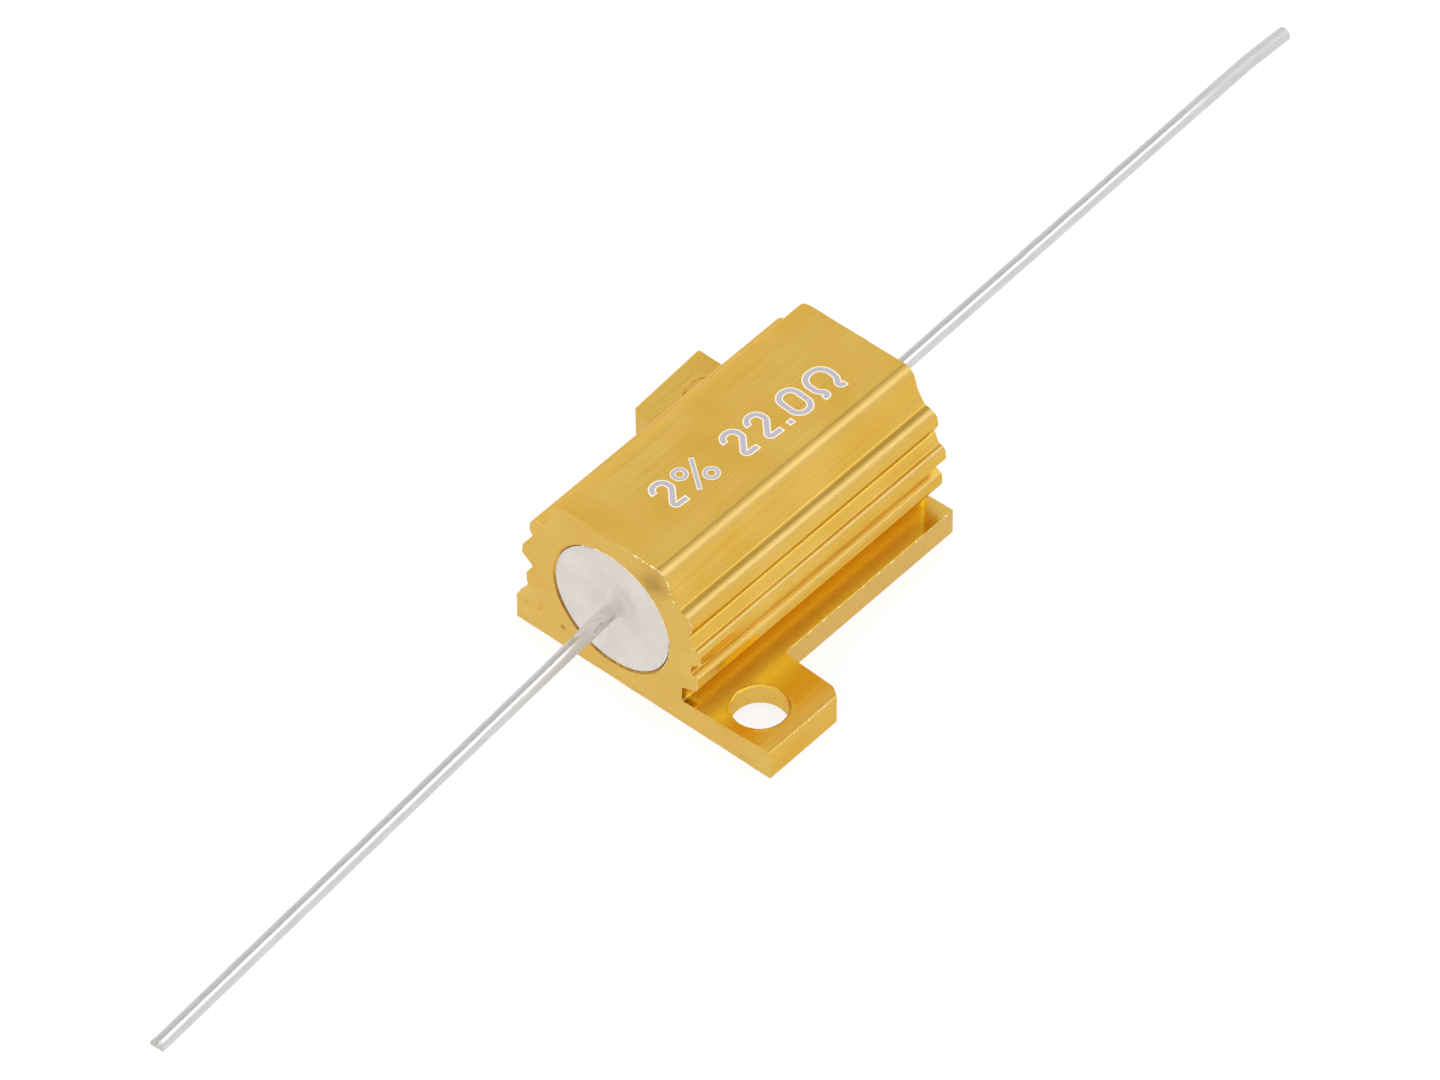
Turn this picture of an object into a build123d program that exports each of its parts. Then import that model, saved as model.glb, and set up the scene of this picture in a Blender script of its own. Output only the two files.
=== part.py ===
from build123d import *

import os
from math import cos, radians, sin

# Wirewound power resistor in a finned aluminium housing, with two axial wire leads.
#
# Frame: +Y runs along the resistor's axis from the front lead to the rear lead, +Z points up
# from the mounting face, and the origin is the middle of that face. All sizes are millimetres.

# ---- Housing: a sawn length of extrusion -------------------------------------------------------
housing_length = 15.0
bore_diameter = 6.0
bore_edge_break = 0.1
base_wall = 0.98             # metal under the bore
top_wall = 1.07              # metal over the bore
top_width = 5.92             # between the sharp corners of the top, before they are rounded
top_corner_radius = 0.65
shoulder = (3.25, 3.0, 1.2)

# Fins down each side, highest first. Each has the root and the brow of its ledge, the upper and
# lower corners of its nose and the groove under it. Like the shoulder's bend, each of these
# corners has its distances from the bore's axis, across and up, and its radius.
neck_width = 7.4             # across the groove between the lowest fins and the flange
fins = (
    ((3.6, 2.45, 0.2), (4.02, 2.39, 0.45), (4.27, 2.12, 0.3), (4.33, 1.72, 0.3), (4.14, 1.32, 0.25)),
    ((4.35, 0.73, 0.15), (4.58, 0.7, 0.2), (4.72, 0.54, 0.2), (4.77, 0.06, 0.2), (4.23, -0.36, 0.15)),
    ((4.18, -0.77, 0.1), (4.57, -0.96, 0.16), (4.56, -1.63, 0.28), (neck_width / 2, -1.94, 0.2)),
)
neck_radius = 0.14

# Flange: a little thicker at its edges, and milled back to a narrower width apart from one
# lug at each end, on opposite sides
flange_root_thickness = 1.25
flange_tip_thickness = 1.47
flange_top_radius = 0.15
flange_base_radius = 0.06
flange_width = 10.3
width_over_lugs = 16.72
lug_root_length = 4.6
lug_tip_length = 4.38
lug_root_radius = 0.25
lug_corner_cut = 0.22
cutter_run = 1.0             # how far a cut runs on past the metal

# Fixing holes, one through each lug
hole_diameter = 2.36
hole_side_inset = 2.01       # from a lug's side to the middle of its hole
hole_end_inset = 1.7         # from a sawn face to the middle of its hole
hole_top_break = 0.03
hole_base_break = 0.35       # wide enough to clear the burr of the drill

# ---- Resistance element inside -----------------------------------------------------------------
core_diameter = 2.8
core_length = 9.4
cap_wall = 0.18
cap_depth = 1.5              # how far a cap reaches over the core
cap_corner_break = 0.12
cap_fit = 0.01               # all round, between a cap and the core
ribbon_width = 0.14          # resistance ribbon, nickel-chromium: this length of it makes 22 ohms
ribbon_thickness = 0.04
ribbon_fit = 0.01            # between the ribbon and what it lies on or ends at
winding_turns = 12

# ---- Potting: the white cement that fills the bore ---------------------------------------------
potting_recess = 0.12        # from a sawn face down to the cement
potting_fit = 0.01           # between the cement and each piece that it surrounds or fills
collar_diameter = 1.2        # the cement creeps up each lead in a low conical collar
collar_height = 0.3
collar_film = 0.04           # how thick its top is, round the lead

# ---- Leads: stiff tinned wire, welded to the caps ----------------------------------------------
lead_diameter = 0.65
lead_exposed = 28.25         # from a sawn face to the lead's tip, along the axis
lead_bend_radius = 9.0
front_lead_bend_inset = 0.5  # the front lead bends this far inside the sawn face
front_lead_drift = 2.0       # sideways, at the tip
rear_lead_bend_reach = 1.6   # the rear lead bends this far outside the sawn face
rear_lead_drift = -0.6       # sideways, at its second bend
rear_lead_tip_run = 2.4      # from its second bend to the tip
rear_lead_tip_drift = -0.52
rear_tip_radius = 0.14
front_tip_angle = 58.0       # degrees between the lead's axis and each face of its pinched tip
front_tip_edge = 0.1         # thickness left at the pinched edge

# ---- Worked out from the sizes above -----------------------------------------------------------
bore_radius = bore_diameter / 2
axis_height = base_wall + bore_radius
housing_height = axis_height + bore_radius + top_wall
face = housing_length / 2
lug_reach = width_over_lugs / 2
hole_across = lug_reach - hole_side_inset
hole_along = face - hole_end_inset
core_axis = Axis((0, 0, axis_height), (0, 1, 0))

cap_bore_radius = core_diameter / 2 + cap_fit
cap_radius = cap_bore_radius + cap_wall
cap_face = core_length / 2 + cap_fit + cap_wall
cap_rim = core_length / 2 - cap_depth
winding_radius = core_diameter / 2 + ribbon_fit + ribbon_thickness / 2
winding_reach = cap_rim - ribbon_fit - ribbon_width / 2
winding_pitch = 2 * winding_reach / winding_turns
cavity_radius = max(cap_radius, winding_radius + ribbon_thickness / 2) + potting_fit

lead_radius = lead_diameter / 2
lead_reach = face + lead_exposed

potting_end = face - potting_recess
potting_side = axis_height + bore_radius - potting_fit
collar_end = potting_end + collar_height
collar_foot = axis_height + collar_diameter / 2
collar_top = axis_height + lead_radius + potting_fit + collar_film
front_route = [
    (0, -cap_face, axis_height),
    (0, -face + front_lead_bend_inset, axis_height),
    (front_lead_drift, -lead_reach, axis_height),
]
rear_route = [
    (0, cap_face, axis_height),
    (0, face + rear_lead_bend_reach, axis_height),
    (rear_lead_drift, lead_reach - rear_lead_tip_run, axis_height),
    (rear_lead_tip_drift, lead_reach, axis_height),
]


def half_section():
    """The corners of the right half of the extrusion, from the top flat round to the base."""
    corners = [(top_width / 2, housing_height, top_corner_radius)]
    for across, up, radius in (shoulder, *sum(fins, ())):
        corners.append((across, axis_height + up, radius))
    return corners + [
        (neck_width / 2, flange_root_thickness, neck_radius),
        (lug_reach, flange_tip_thickness, flange_top_radius),
        (lug_reach, 0, flange_base_radius),
    ]


def rounded(corners, start, end):
    """A line from start through the corners to end, each corner rounded to its own radius."""
    points = [start] + [(x, y) for x, y, radius in corners] + [end]
    return FilletPolyline(*points, radius=[radius for x, y, radius in corners])


def wire_along(route, diameter):
    """A round wire on a route of straight runs that arcs join."""
    with BuildPart() as wire:
        with BuildLine() as path:
            FilletPolyline(*route, radius=lead_bend_radius)
        with BuildSketch(Plane(origin=path.line @ 0, z_dir=path.line % 0)):
            Circle(diameter / 2)
        sweep(path=path.line)
    return wire.part


os.makedirs("parts", exist_ok=True)

# ---- Housing -----------------------------------------------------------------------------------
with BuildPart() as housing:
    with BuildSketch(Plane.XZ) as section:
        with BuildLine():
            rounded(half_section(), (0, housing_height), (0, 0))
            mirror(about=Plane.YZ)
        make_face()
        with Locations((0, axis_height)):
            Circle(bore_radius, mode=Mode.SUBTRACT)
    extrude(amount=face, both=True)
    bore_rims = housing.edges().filter_by(lambda rim: rim.is_closed)
    chamfer(bore_rims, length=bore_edge_break)
    # The flange is milled back on the right and, half a turn round, on the left
    with BuildSketch():
        with BuildLine():
            edge = FilletPolyline(
                (flange_width / 2, face + cutter_run),
                (flange_width / 2, lug_root_length - face),
                (lug_reach - lug_corner_cut, lug_tip_length - face),
                (lug_reach + cutter_run, lug_tip_length - face - lug_corner_cut - cutter_run),
                radius=[lug_root_radius, 0],
            )
            Polyline(edge @ 1, (lug_reach + cutter_run, face + cutter_run), edge @ 0)
        right_cut = make_face()
        add(right_cut.rotate(Axis.Z, 180))
    extrude(amount=flange_tip_thickness, mode=Mode.SUBTRACT)
    # One fixing hole through each lug, with the edges broken
    with BuildSketch():
        with Locations((hole_across, -hole_along), (-hole_across, hole_along)):
            Circle(hole_diameter / 2)
    extrude(amount=flange_tip_thickness, mode=Mode.SUBTRACT)
    base_rims = housing.edges().filter_by(lambda rim: rim.is_closed).sort_by(Axis.Z)[:2]
    chamfer(base_rims, length=hole_base_break)
    top_rims = housing.edges().filter_by(lambda rim: rim.is_closed).sort_by(Axis.Z)[4:6]
    chamfer(top_rims, length=hole_top_break)
housing.part.label = "housing"
export_step(housing.part, "parts/housing.step")

# ---- Ceramic core ------------------------------------------------------------------------------
with BuildPart() as ceramic_core:
    with BuildSketch(Plane.XZ):
        with Locations((0, axis_height)):
            Circle(core_diameter / 2)
    extrude(amount=core_length / 2, both=True)
ceramic_core.part.label = "ceramic_core"
export_step(ceramic_core.part, "parts/ceramic_core.step")

# ---- End caps: drawn steel cups pressed on the core --------------------------------------------
with BuildPart() as front_end_cap:
    with BuildSketch(Plane.XZ.offset(cap_rim)):
        with Locations((0, axis_height)):
            Circle(cap_radius)
    extrude(amount=cap_face - cap_rim)
    chamfer(front_end_cap.edges().sort_by(Axis.Y)[0], length=cap_corner_break)
    with BuildSketch(Plane.XZ.offset(cap_rim)):
        with Locations((0, axis_height)):
            Circle(cap_bore_radius)
    extrude(amount=cap_depth + cap_fit, mode=Mode.SUBTRACT)
front_end_cap.part.label = "front_end_cap"
export_step(front_end_cap.part, "parts/front_end_cap.step")

with BuildPart() as rear_end_cap:
    mirror(front_end_cap.part, about=Plane.XZ)
rear_end_cap.part.label = "rear_end_cap"
export_step(rear_end_cap.part, "parts/rear_end_cap.step")

# ---- Resistance winding: one layer of flat ribbon, from cap to cap -----------------------------
with BuildPart() as resistance_winding:
    with BuildLine() as coil:
        Helix(
            pitch=winding_pitch,
            height=2 * winding_reach,
            radius=winding_radius,
            center=(0, -winding_reach, axis_height),
            direction=(0, 1, 0),
        )
    with BuildSketch(Plane(origin=coil.line @ 0, x_dir=core_axis.direction, z_dir=coil.line % 0)):
        Rectangle(ribbon_width, ribbon_thickness)
    sweep(path=coil.line, is_frenet=True)
resistance_winding.part.label = "resistance_winding"
export_step(resistance_winding.part, "parts/resistance_winding.step")

# ---- Potting -----------------------------------------------------------------------------------
with BuildPart() as potting:
    # A turned form: the filled bore, with a collar at each end
    with BuildSketch(Plane.YZ):
        with BuildLine():
            Polyline(
                (0, axis_height),
                (collar_end, axis_height),
                (collar_end, collar_top),
                (potting_end, collar_foot),
                (potting_end, potting_side),
                (0, potting_side),
            )
            mirror(about=Plane.YZ)
        make_face()
    revolve(axis=core_axis)
    # The room that the capped core and its winding take, and the way out for each lead
    with BuildSketch(Plane.XZ):
        with Locations((0, axis_height)):
            Circle(cavity_radius)
    extrude(amount=cap_face + potting_fit, both=True, mode=Mode.SUBTRACT)
    for route in (front_route, rear_route):
        add(wire_along(route, lead_diameter + 2 * potting_fit), mode=Mode.SUBTRACT)
potting.part.label = "potting"
export_step(potting.part, "parts/potting.step")

# ---- Leads -------------------------------------------------------------------------------------
with BuildPart() as front_lead:
    add(wire_along(front_route, lead_diameter))
    # Side cutters pinched this end into a blunt wedge with a level edge
    run = (Vector(*front_route[-1]) - Vector(*front_route[-2])).normalized()
    for up in (-1, 1):
        lean = Vector(0, 0, up)
        pinched_face = Plane(
            origin=Vector(*front_route[-1]) + lean * front_tip_edge / 2,
            z_dir=run * sin(radians(front_tip_angle)) + lean * cos(radians(front_tip_angle)),
        )
        split(bisect_by=pinched_face, keep=Keep.BOTTOM)
front_lead.part.label = "front_lead"
export_step(front_lead.part, "parts/front_lead.step")

with BuildPart() as rear_lead:
    add(wire_along(rear_route, lead_diameter))
    fillet(rear_lead.edges().sort_by(Axis.Y)[-1], radius=rear_tip_radius)
rear_lead.part.label = "rear_lead"
export_step(rear_lead.part, "parts/rear_lead.step")
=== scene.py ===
# %% [markdown]
# # A wirewound power resistor, dressed for the camera
#
# The real thing is a short piece of finned aluminium extrusion, anodised gold, with a wire-wound
# ceramic rod sealed inside by white cement and a stiff tinned wire leaving each end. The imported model
# is right in size but plain. This notebook makes the surfaces that a camera sees: the housing with its
# sawn ends, the cement, the two wires and the print on top, each with a finish of its own.
#
# Shapes are worked out in millimetres as whole numpy arrays, and turned into metres when they
# become a mesh.

from math import atan2, cos, hypot, pi, radians, sin

import bmesh
import bpy
import numpy as np
from mathutils import Matrix, Vector
from mathutils.geometry import tessellate_polygon


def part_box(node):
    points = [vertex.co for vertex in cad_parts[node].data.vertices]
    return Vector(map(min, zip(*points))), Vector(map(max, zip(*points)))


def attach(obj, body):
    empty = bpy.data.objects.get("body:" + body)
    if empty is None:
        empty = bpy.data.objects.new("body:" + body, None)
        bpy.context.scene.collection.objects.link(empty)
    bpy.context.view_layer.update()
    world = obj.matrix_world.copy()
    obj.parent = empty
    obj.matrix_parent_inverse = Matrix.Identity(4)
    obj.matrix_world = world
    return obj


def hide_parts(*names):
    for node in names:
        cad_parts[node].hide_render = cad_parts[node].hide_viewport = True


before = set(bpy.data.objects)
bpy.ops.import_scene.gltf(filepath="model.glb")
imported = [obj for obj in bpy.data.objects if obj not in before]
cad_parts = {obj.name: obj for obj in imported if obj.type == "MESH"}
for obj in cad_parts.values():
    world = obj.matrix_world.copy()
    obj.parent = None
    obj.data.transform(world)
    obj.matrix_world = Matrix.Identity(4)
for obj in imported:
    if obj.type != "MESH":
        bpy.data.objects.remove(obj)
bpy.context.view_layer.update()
MM = 0.001
print("nodes:", sorted(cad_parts))

# %% [markdown]
# ## Sizes
#
# The outline of the extrusion can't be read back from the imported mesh, so the numbers that shape it
# are repeated here from the part's own source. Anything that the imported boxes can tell, such as the
# length of the housing or the height of the bore's axis, is read from them instead.

# %% Read what the boxes can tell
lug_reach, face, top = np.array(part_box("housing")[1]) / MM
core_low, core_high = (np.array(c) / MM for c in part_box("ceramic_core"))
cap_low, cap_high = (np.array(c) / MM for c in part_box("rear_end_cap"))
axis_height = (core_low[2] + core_high[2]) / 2
cap_face = cap_high[1]
cap_radius = (cap_high[2] - cap_low[2]) / 2
print(f"sawn faces at {face:.2f}, lugs reach {lug_reach:.2f}, top {top:.2f}, axis {axis_height:.2f} mm")

# %% [markdown]
# ## The camera
#
# A long lens from well back and above, looking down on the front right corner. The camera comes
# first, because every later choice of detail is judged through it. Its three axes are built from the
# azimuth and elevation, then turned a little about the line of sight.

# %% Place the camera
azimuth, elevation, roll = radians(41.73), radians(46.708), radians(-0.721)
target, distance = np.array([-0.836, 0.0, 1.407]), 377.8
back = np.array([sin(azimuth) * cos(elevation), -cos(azimuth) * cos(elevation), sin(elevation)])
right = np.array([cos(azimuth), sin(azimuth), 0.0])
up = np.cross(back, right)
across_view = cos(roll) * right + sin(roll) * up
up_view = cos(roll) * up - sin(roll) * right

camera = bpy.data.objects.new("camera", bpy.data.cameras.new("camera"))
camera.data.lens, camera.data.sensor_width = 234.11, 36.0
camera.data.clip_start, camera.data.clip_end = 0.01, 10.0
turn = Matrix(np.stack([across_view, up_view, back], axis=1).tolist())
camera.matrix_world = Matrix.Translation(Vector((target + back * distance) * MM)) @ turn.to_4x4()
bpy.context.scene.collection.objects.link(camera)
bpy.context.scene.camera = camera
bpy.context.scene.view_settings.view_transform = "Standard"
print("camera at, mm:", [round(v / MM, 1) for v in camera.matrix_world.translation])

# %% [markdown]
# ## Node helpers
#
# A finish is a small network of nodes, and a few helpers keep it readable. `node` makes one node and
# fills its sockets, with a number or with another node's output. `grain` gives a noise whose features
# have a size in millimetres, drawn out along one axis where the tool marks run that way. `between`
# turns such a noise into the range that a colour, a gloss or a bump needs, and `spot` is the one mark
# that noise can't give: a ragged patch at a chosen place.

# %% Node and grain helpers
def node(tree, kind, sockets=None, **settings):
    """Adds a node of this kind; sockets maps a socket's name to its value or to an output socket."""
    made = tree.nodes.new(kind)
    for name, value in settings.items():
        setattr(made, name, value)
    for name, value in (sockets or {}).items():
        if isinstance(value, bpy.types.NodeSocket):
            tree.links.new(value, made.inputs[name])
        else:
            made.inputs[name].default_value = value
    return made


def maths(tree, operation, *values):
    """What a Math node makes of these values, each a number or another node's output."""
    return node(tree, "ShaderNodeMath", dict(enumerate(values)), operation=operation).outputs[0]


def on_mesh(tree, label):
    """The number that the mesh itself holds for each point under this label."""
    return node(tree, "ShaderNodeAttribute", attribute_name=label).outputs["Fac"]


def grain(tree, size, drawn=(1, 1, 1), detail=2.0, shift=0.0):
    """Noise from 0 to 1 in object space with features about size mm, drawn out by these factors."""
    place = node(tree, "ShaderNodeTexCoord").outputs["Object"]
    scale = [1 / (MM * size * d) for d in drawn]
    mapped = node(tree, "ShaderNodeMapping", {"Vector": place, "Scale": scale, "Location": (shift,) * 3})
    sockets = {"Vector": mapped.outputs[0], "Scale": 1.0, "Detail": detail}
    return node(tree, "ShaderNodeTexNoise", sockets).outputs["Fac"]


def between(tree, value, low, high, start=0.3, stop=0.7):
    """Maps value, from start to stop, on to low to high, and holds it there outside."""
    sockets = {"Value": value, "From Min": start, "From Max": stop, "To Min": low, "To Max": high}
    return node(tree, "ShaderNodeMapRange", sockets, clamp=True).outputs[0]


# %% Colour helpers
def shade(red, green, blue):
    """A colour written as it looks on a screen, 0 to 255, as the linear numbers that Blender wants."""
    seen = np.array([red, green, blue]) / 255
    return (*np.where(seen <= 0.04045, seen / 12.92, ((seen + 0.055) / 1.055) ** 2.4).tolist(), 1.0)


def blend_colours(tree, amount, first, second):
    """The first colour where amount is 0, turning to the second where it is 1."""
    mix = node(tree, "ShaderNodeMix", data_type="RGBA")
    for socket, value in ((mix.inputs[0], amount), (mix.inputs[6], first), (mix.inputs[7], second)):
        if isinstance(value, bpy.types.NodeSocket):
            tree.links.new(value, socket)
        else:
            socket.default_value = value
    return mix.outputs[2]


def mottled(tree, noise, first, second):
    """The first colour turning to the second with a noise."""
    return blend_colours(tree, between(tree, noise, 0.0, 1.0), first, second)


print("a mid grey in linear numbers:", round(shade(128, 128, 128)[0], 3))


# %% Marks at chosen places
def spot(tree, centre, reach, ragged=0.2):
    """1 at a place given in mm, falling to 0 at reach mm from it, with a ragged edge."""
    place = node(tree, "ShaderNodeTexCoord").outputs["Object"]
    sockets = {0: place, 1: [c * MM for c in centre]}
    away = node(tree, "ShaderNodeVectorMath", sockets, operation="DISTANCE").outputs["Value"]
    edge = between(tree, grain(tree, 0.35 * reach, detail=3.0), -ragged, ragged)
    share = maths(tree, "MULTIPLY_ADD", away, 1 / (reach * MM), edge)
    return between(tree, share, 1.0, 0.0, 0.1, 1.0)


def marked(tree, tint, colour, marks):
    """Lays marks of one colour over a tint; each has its place in mm, its reach and its strength."""
    for centre, reach, strength in marks:
        amount = maths(tree, "MULTIPLY", spot(tree, centre, reach), strength)
        tint = blend_colours(tree, amount, tint, colour)
    return tint


# %% Material helpers
def finish(name, **sockets):
    """A new material with its Principled BSDF's sockets set: returns it, its tree and its shader."""
    made = bpy.data.materials.new(name)
    made.use_nodes = True
    shader = made.node_tree.nodes["Principled BSDF"]
    for socket, value in sockets.items():
        shader.inputs[socket.replace("_", " ")].default_value = value
    return made, made.node_tree, shader


def feed(tree, shader, **outputs):
    """Links each output to the shader's socket of that name."""
    for socket, output in outputs.items():
        tree.links.new(output, shader.inputs[socket.replace("_", " ")])


def relief(tree, shader, *layers):
    """Stacks bump layers, each an output with its depth in mm, and feeds them to the shader."""
    normal = None
    for height, depth in layers:
        sockets = {"Height": height, "Distance": depth * MM, "Strength": 1.0}
        if normal:
            sockets["Normal"] = normal
        normal = node(tree, "ShaderNodeBump", sockets).outputs[0]
    feed(tree, shader, Normal=normal)

# %% [markdown]
# ## Floor, surround and lamps
#
# A small shiny object shows its surroundings more than its own colour, so the studio matters as much
# as the metal. The floor glows white for the camera and for reflections, and still takes the object's
# shadow, because a quarter of it stays an ordinary matt surface.
#
# The surround is white at the horizon. Overhead it has a soft grey gap a little left of the top, which
# draws a dark line along each rib, and the side left of the gap is a touch dimmer. Only reflections see
# the gap. Matt surfaces are lit evenly. A square softbox, high behind the right shoulder, puts the
# bright line beside the dark one, and a larger one fills in from the front left.

# %% White floor that keeps a shadow
floor_half, floor_level = 3, -0.02
floor_grey, floor_glow, glow_share = 0.86, 1.09, 0.76

floor_mesh = bpy.data.meshes.new("studio_floor")
floor_corners = [(floor_half * x, floor_half * y, 0) for x, y in ((-1, -1), (1, -1), (1, 1), (-1, 1))]
floor_mesh.from_pydata(floor_corners, [], [(0, 1, 2, 3)])
floor = bpy.data.objects.new("studio_floor", floor_mesh)
floor.location.z = floor_level * MM
bpy.context.scene.collection.objects.link(floor)

floor_paint, tree, shader = finish("studio_white", Roughness=0.9, Specular_IOR_Level=0.0)
shader.inputs["Base Color"].default_value = (floor_grey, floor_grey, floor_grey, 1)
rays = node(tree, "ShaderNodeLightPath").outputs
seen = maths(tree, "ADD", rays["Is Camera Ray"], rays["Is Glossy Ray"])
seen = maths(tree, "ADD", seen, rays["Is Transmission Ray"])
sockets = {0: seen, 1: glow_share}
share = node(tree, "ShaderNodeMath", sockets, operation="MULTIPLY", use_clamp=True).outputs[0]
glow = node(tree, "ShaderNodeEmission", {"Color": (1, 1, 1, 1), "Strength": floor_glow}).outputs[0]
lit = node(tree, "ShaderNodeMixShader", {0: share, 1: shader.outputs[0], 2: glow}).outputs[0]
tree.links.new(lit, tree.nodes["Material Output"].inputs["Surface"])
floor_mesh.materials.append(floor_paint)
print("floor, m:", tuple(round(v, 2) for v in floor.dimensions[:2]), "glows by", glow_share)

# %% Surround: white, with a grey gap overhead
gap_middle, gap_half, gap_level = radians(-14), radians(11), 0.5
left_level, matt_light = 0.97, 1.05

surround = bpy.data.worlds.new("surround")
bpy.context.scene.world = surround
surround.use_nodes = True
tree = surround.node_tree
rays = node(tree, "ShaderNodeLightPath").outputs
direction = node(tree, "ShaderNodeTexCoord").outputs["Generated"]
towards = node(tree, "ShaderNodeSeparateXYZ", {0: direction}).outputs
sideways = maths(tree, "ARCTAN2", towards["X"], towards["Z"])
away = maths(tree, "ABSOLUTE", maths(tree, "SUBTRACT", sideways, gap_middle))
sockets = {"Value": away, "From Min": 0.25 * gap_half, "From Max": gap_half, "To Min": gap_level}
gap = node(tree, "ShaderNodeMapRange", sockets, interpolation_type="SMOOTHSTEP").outputs[0]
left_side = between(tree, sideways, left_level, 1.0, gap_middle - 0.1, gap_middle + 0.1)
overhead = maths(tree, "MULTIPLY", gap, left_side)
high_up = between(tree, towards["Z"], 0.0, 1.0, 0.3, 0.55)
mirrored = node(tree, "ShaderNodeMix", {0: high_up, 2: 1.0, 3: overhead}).outputs[0]
seen = maths(tree, "MAXIMUM", rays["Is Camera Ray"], rays["Is Transmission Ray"])
even = between(tree, seen, matt_light, 1.0, 0.0, 1.0)
level = node(tree, "ShaderNodeMix", {0: rays["Is Glossy Ray"], 2: even, 3: mirrored}).outputs[0]
tree.links.new(level, tree.nodes["Background"].inputs["Strength"])
tree.nodes["Background"].inputs["Color"].default_value = (1, 1, 1, 1)
print("gap overhead, degrees:", [round(np.degrees(gap_middle + s * gap_half)) for s in (-1, 1)])


# %% Softboxes
def softbox(name, towards, reach, size, radiance):
    """A square lamp of this radiance, reach mm away in one direction, that faces the housing.

    A one-sided square lamp of side a and radiance L gives off L * pi * a * a watts."""
    lamp = bpy.data.lights.new(name, "AREA")
    lamp.size = size * MM
    lamp.energy = radiance * pi * (size * MM) ** 2
    made = bpy.data.objects.new(name, lamp)
    aim = Vector(towards).normalized()
    made.location = (aim * reach + Vector((0, 0, 4))) * MM
    made.rotation_mode = "QUATERNION"
    made.rotation_quaternion = aim.to_track_quat("Z", "Y")
    bpy.context.scene.collection.objects.link(made)
    return lamp.energy


print("key, W:", round(softbox("key", (0.41, 0.51, 0.755), 400, 170, 0.42), 3))
print("fill, W:", round(softbox("fill", (-0.55, -0.45, 0.70), 500, 260, 0.4), 3))

# %% [markdown]
# ## Shape helpers
#
# Nearly every surface here is a grid: one parameter runs round a section and the other runs along a
# path. `rounded_line` makes sections and routes from corners with radii, as a draughtsman would draw
# them. `grid_quads` lists the faces of a grid, and `dress` turns points and faces into a finished
# piece: it merges doubled points, so that seams and poles close, and turns every face outwards.

# %% A line with rounded corners
def unit(vector):
    """The vector over its own length."""
    return vector / np.hypot(*vector)


def rounded_line(corners, longest=0.4, turn=15.0, margin=0.025):
    """A flat line through corners (x, y, radius); the first and last are its ends, with radius 0.

    At a corner whose runs meet at the angle 2h, an arc of radius r starts r / tan(h) before it. Its
    middle is r / sin(h) away on the bisector, and its points go round that middle in even steps
    of at most turn degrees. A run between two arcs has even steps of at most longest, with one more
    point a margin from each end, so that shading stays flat on the run."""
    spots = np.array(corners, float)
    pieces, last = [], spots[0, :2]
    for i in range(1, len(spots)):
        here, radius = spots[i, :2], spots[i, 2]
        arc = here[None, :]
        if radius > 0:
            before, after = unit(spots[i - 1, :2] - here), unit(spots[i + 1, :2] - here)
            half = np.arccos(np.clip(before @ after, -1, 1)) / 2
            middle = here + unit(before + after) * radius / sin(half)
            arm = here + before * radius / np.tan(half) - middle
            way = np.sign(before[1] * after[0] - before[0] * after[1])
            count = max(2, int(np.ceil((pi - 2 * half) / radians(turn))))
            a = way * (pi - 2 * half) * np.linspace(0, 1, count + 1)
            spun = [arm[0] * np.cos(a) - arm[1] * np.sin(a), arm[0] * np.sin(a) + arm[1] * np.cos(a)]
            arc = middle + np.stack(spun, axis=1)
        run = hypot(*(arc[0] - last))
        inner = np.linspace(margin, run - margin, max(1, round((run - 2 * margin) / longest)) + 1)
        if run < 4 * margin:
            inner = np.array([run / 2])
        pieces += [last + (arc[0] - last) * inner[:, None] / run, arc]
        last = arc[-1]
    return np.concatenate([spots[:1, :2], *pieces])


print("a corner of radius 1 takes", len(rounded_line([(0, 0, 0), (2, 0, 1), (2, 2, 0)])), "points")


# %% Grids and wobbles
def grid_quads(rows, columns, round_columns=True, round_rows=False):
    """The quads of a grid whose point (i, j) has the number i * columns + j, closed round if asked."""
    i = np.arange(rows if round_rows else rows - 1)[:, None]
    j = np.arange(columns if round_columns else columns - 1)[None, :]
    below, beside = (i + 1) % rows, (j + 1) % columns
    around = [i * columns + j, i * columns + beside, below * columns + beside, below * columns + j]
    return np.stack(np.broadcast_arrays(*around), axis=-1).reshape(-1, 4)


def ripple(u, lengths, seed):
    """A smooth wobble from about -1 to 1: sines of these wavelengths, with seeded phases, averaged."""
    phases = np.random.default_rng(seed).uniform(0, 2 * pi, len(lengths))
    return sum(np.sin(2 * pi * u / n + p) for n, p in zip(lengths, phases)) / len(lengths) ** 0.5


print("quads of a tube of 3 rings of 8:", len(grid_quads(3, 8)))


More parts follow.
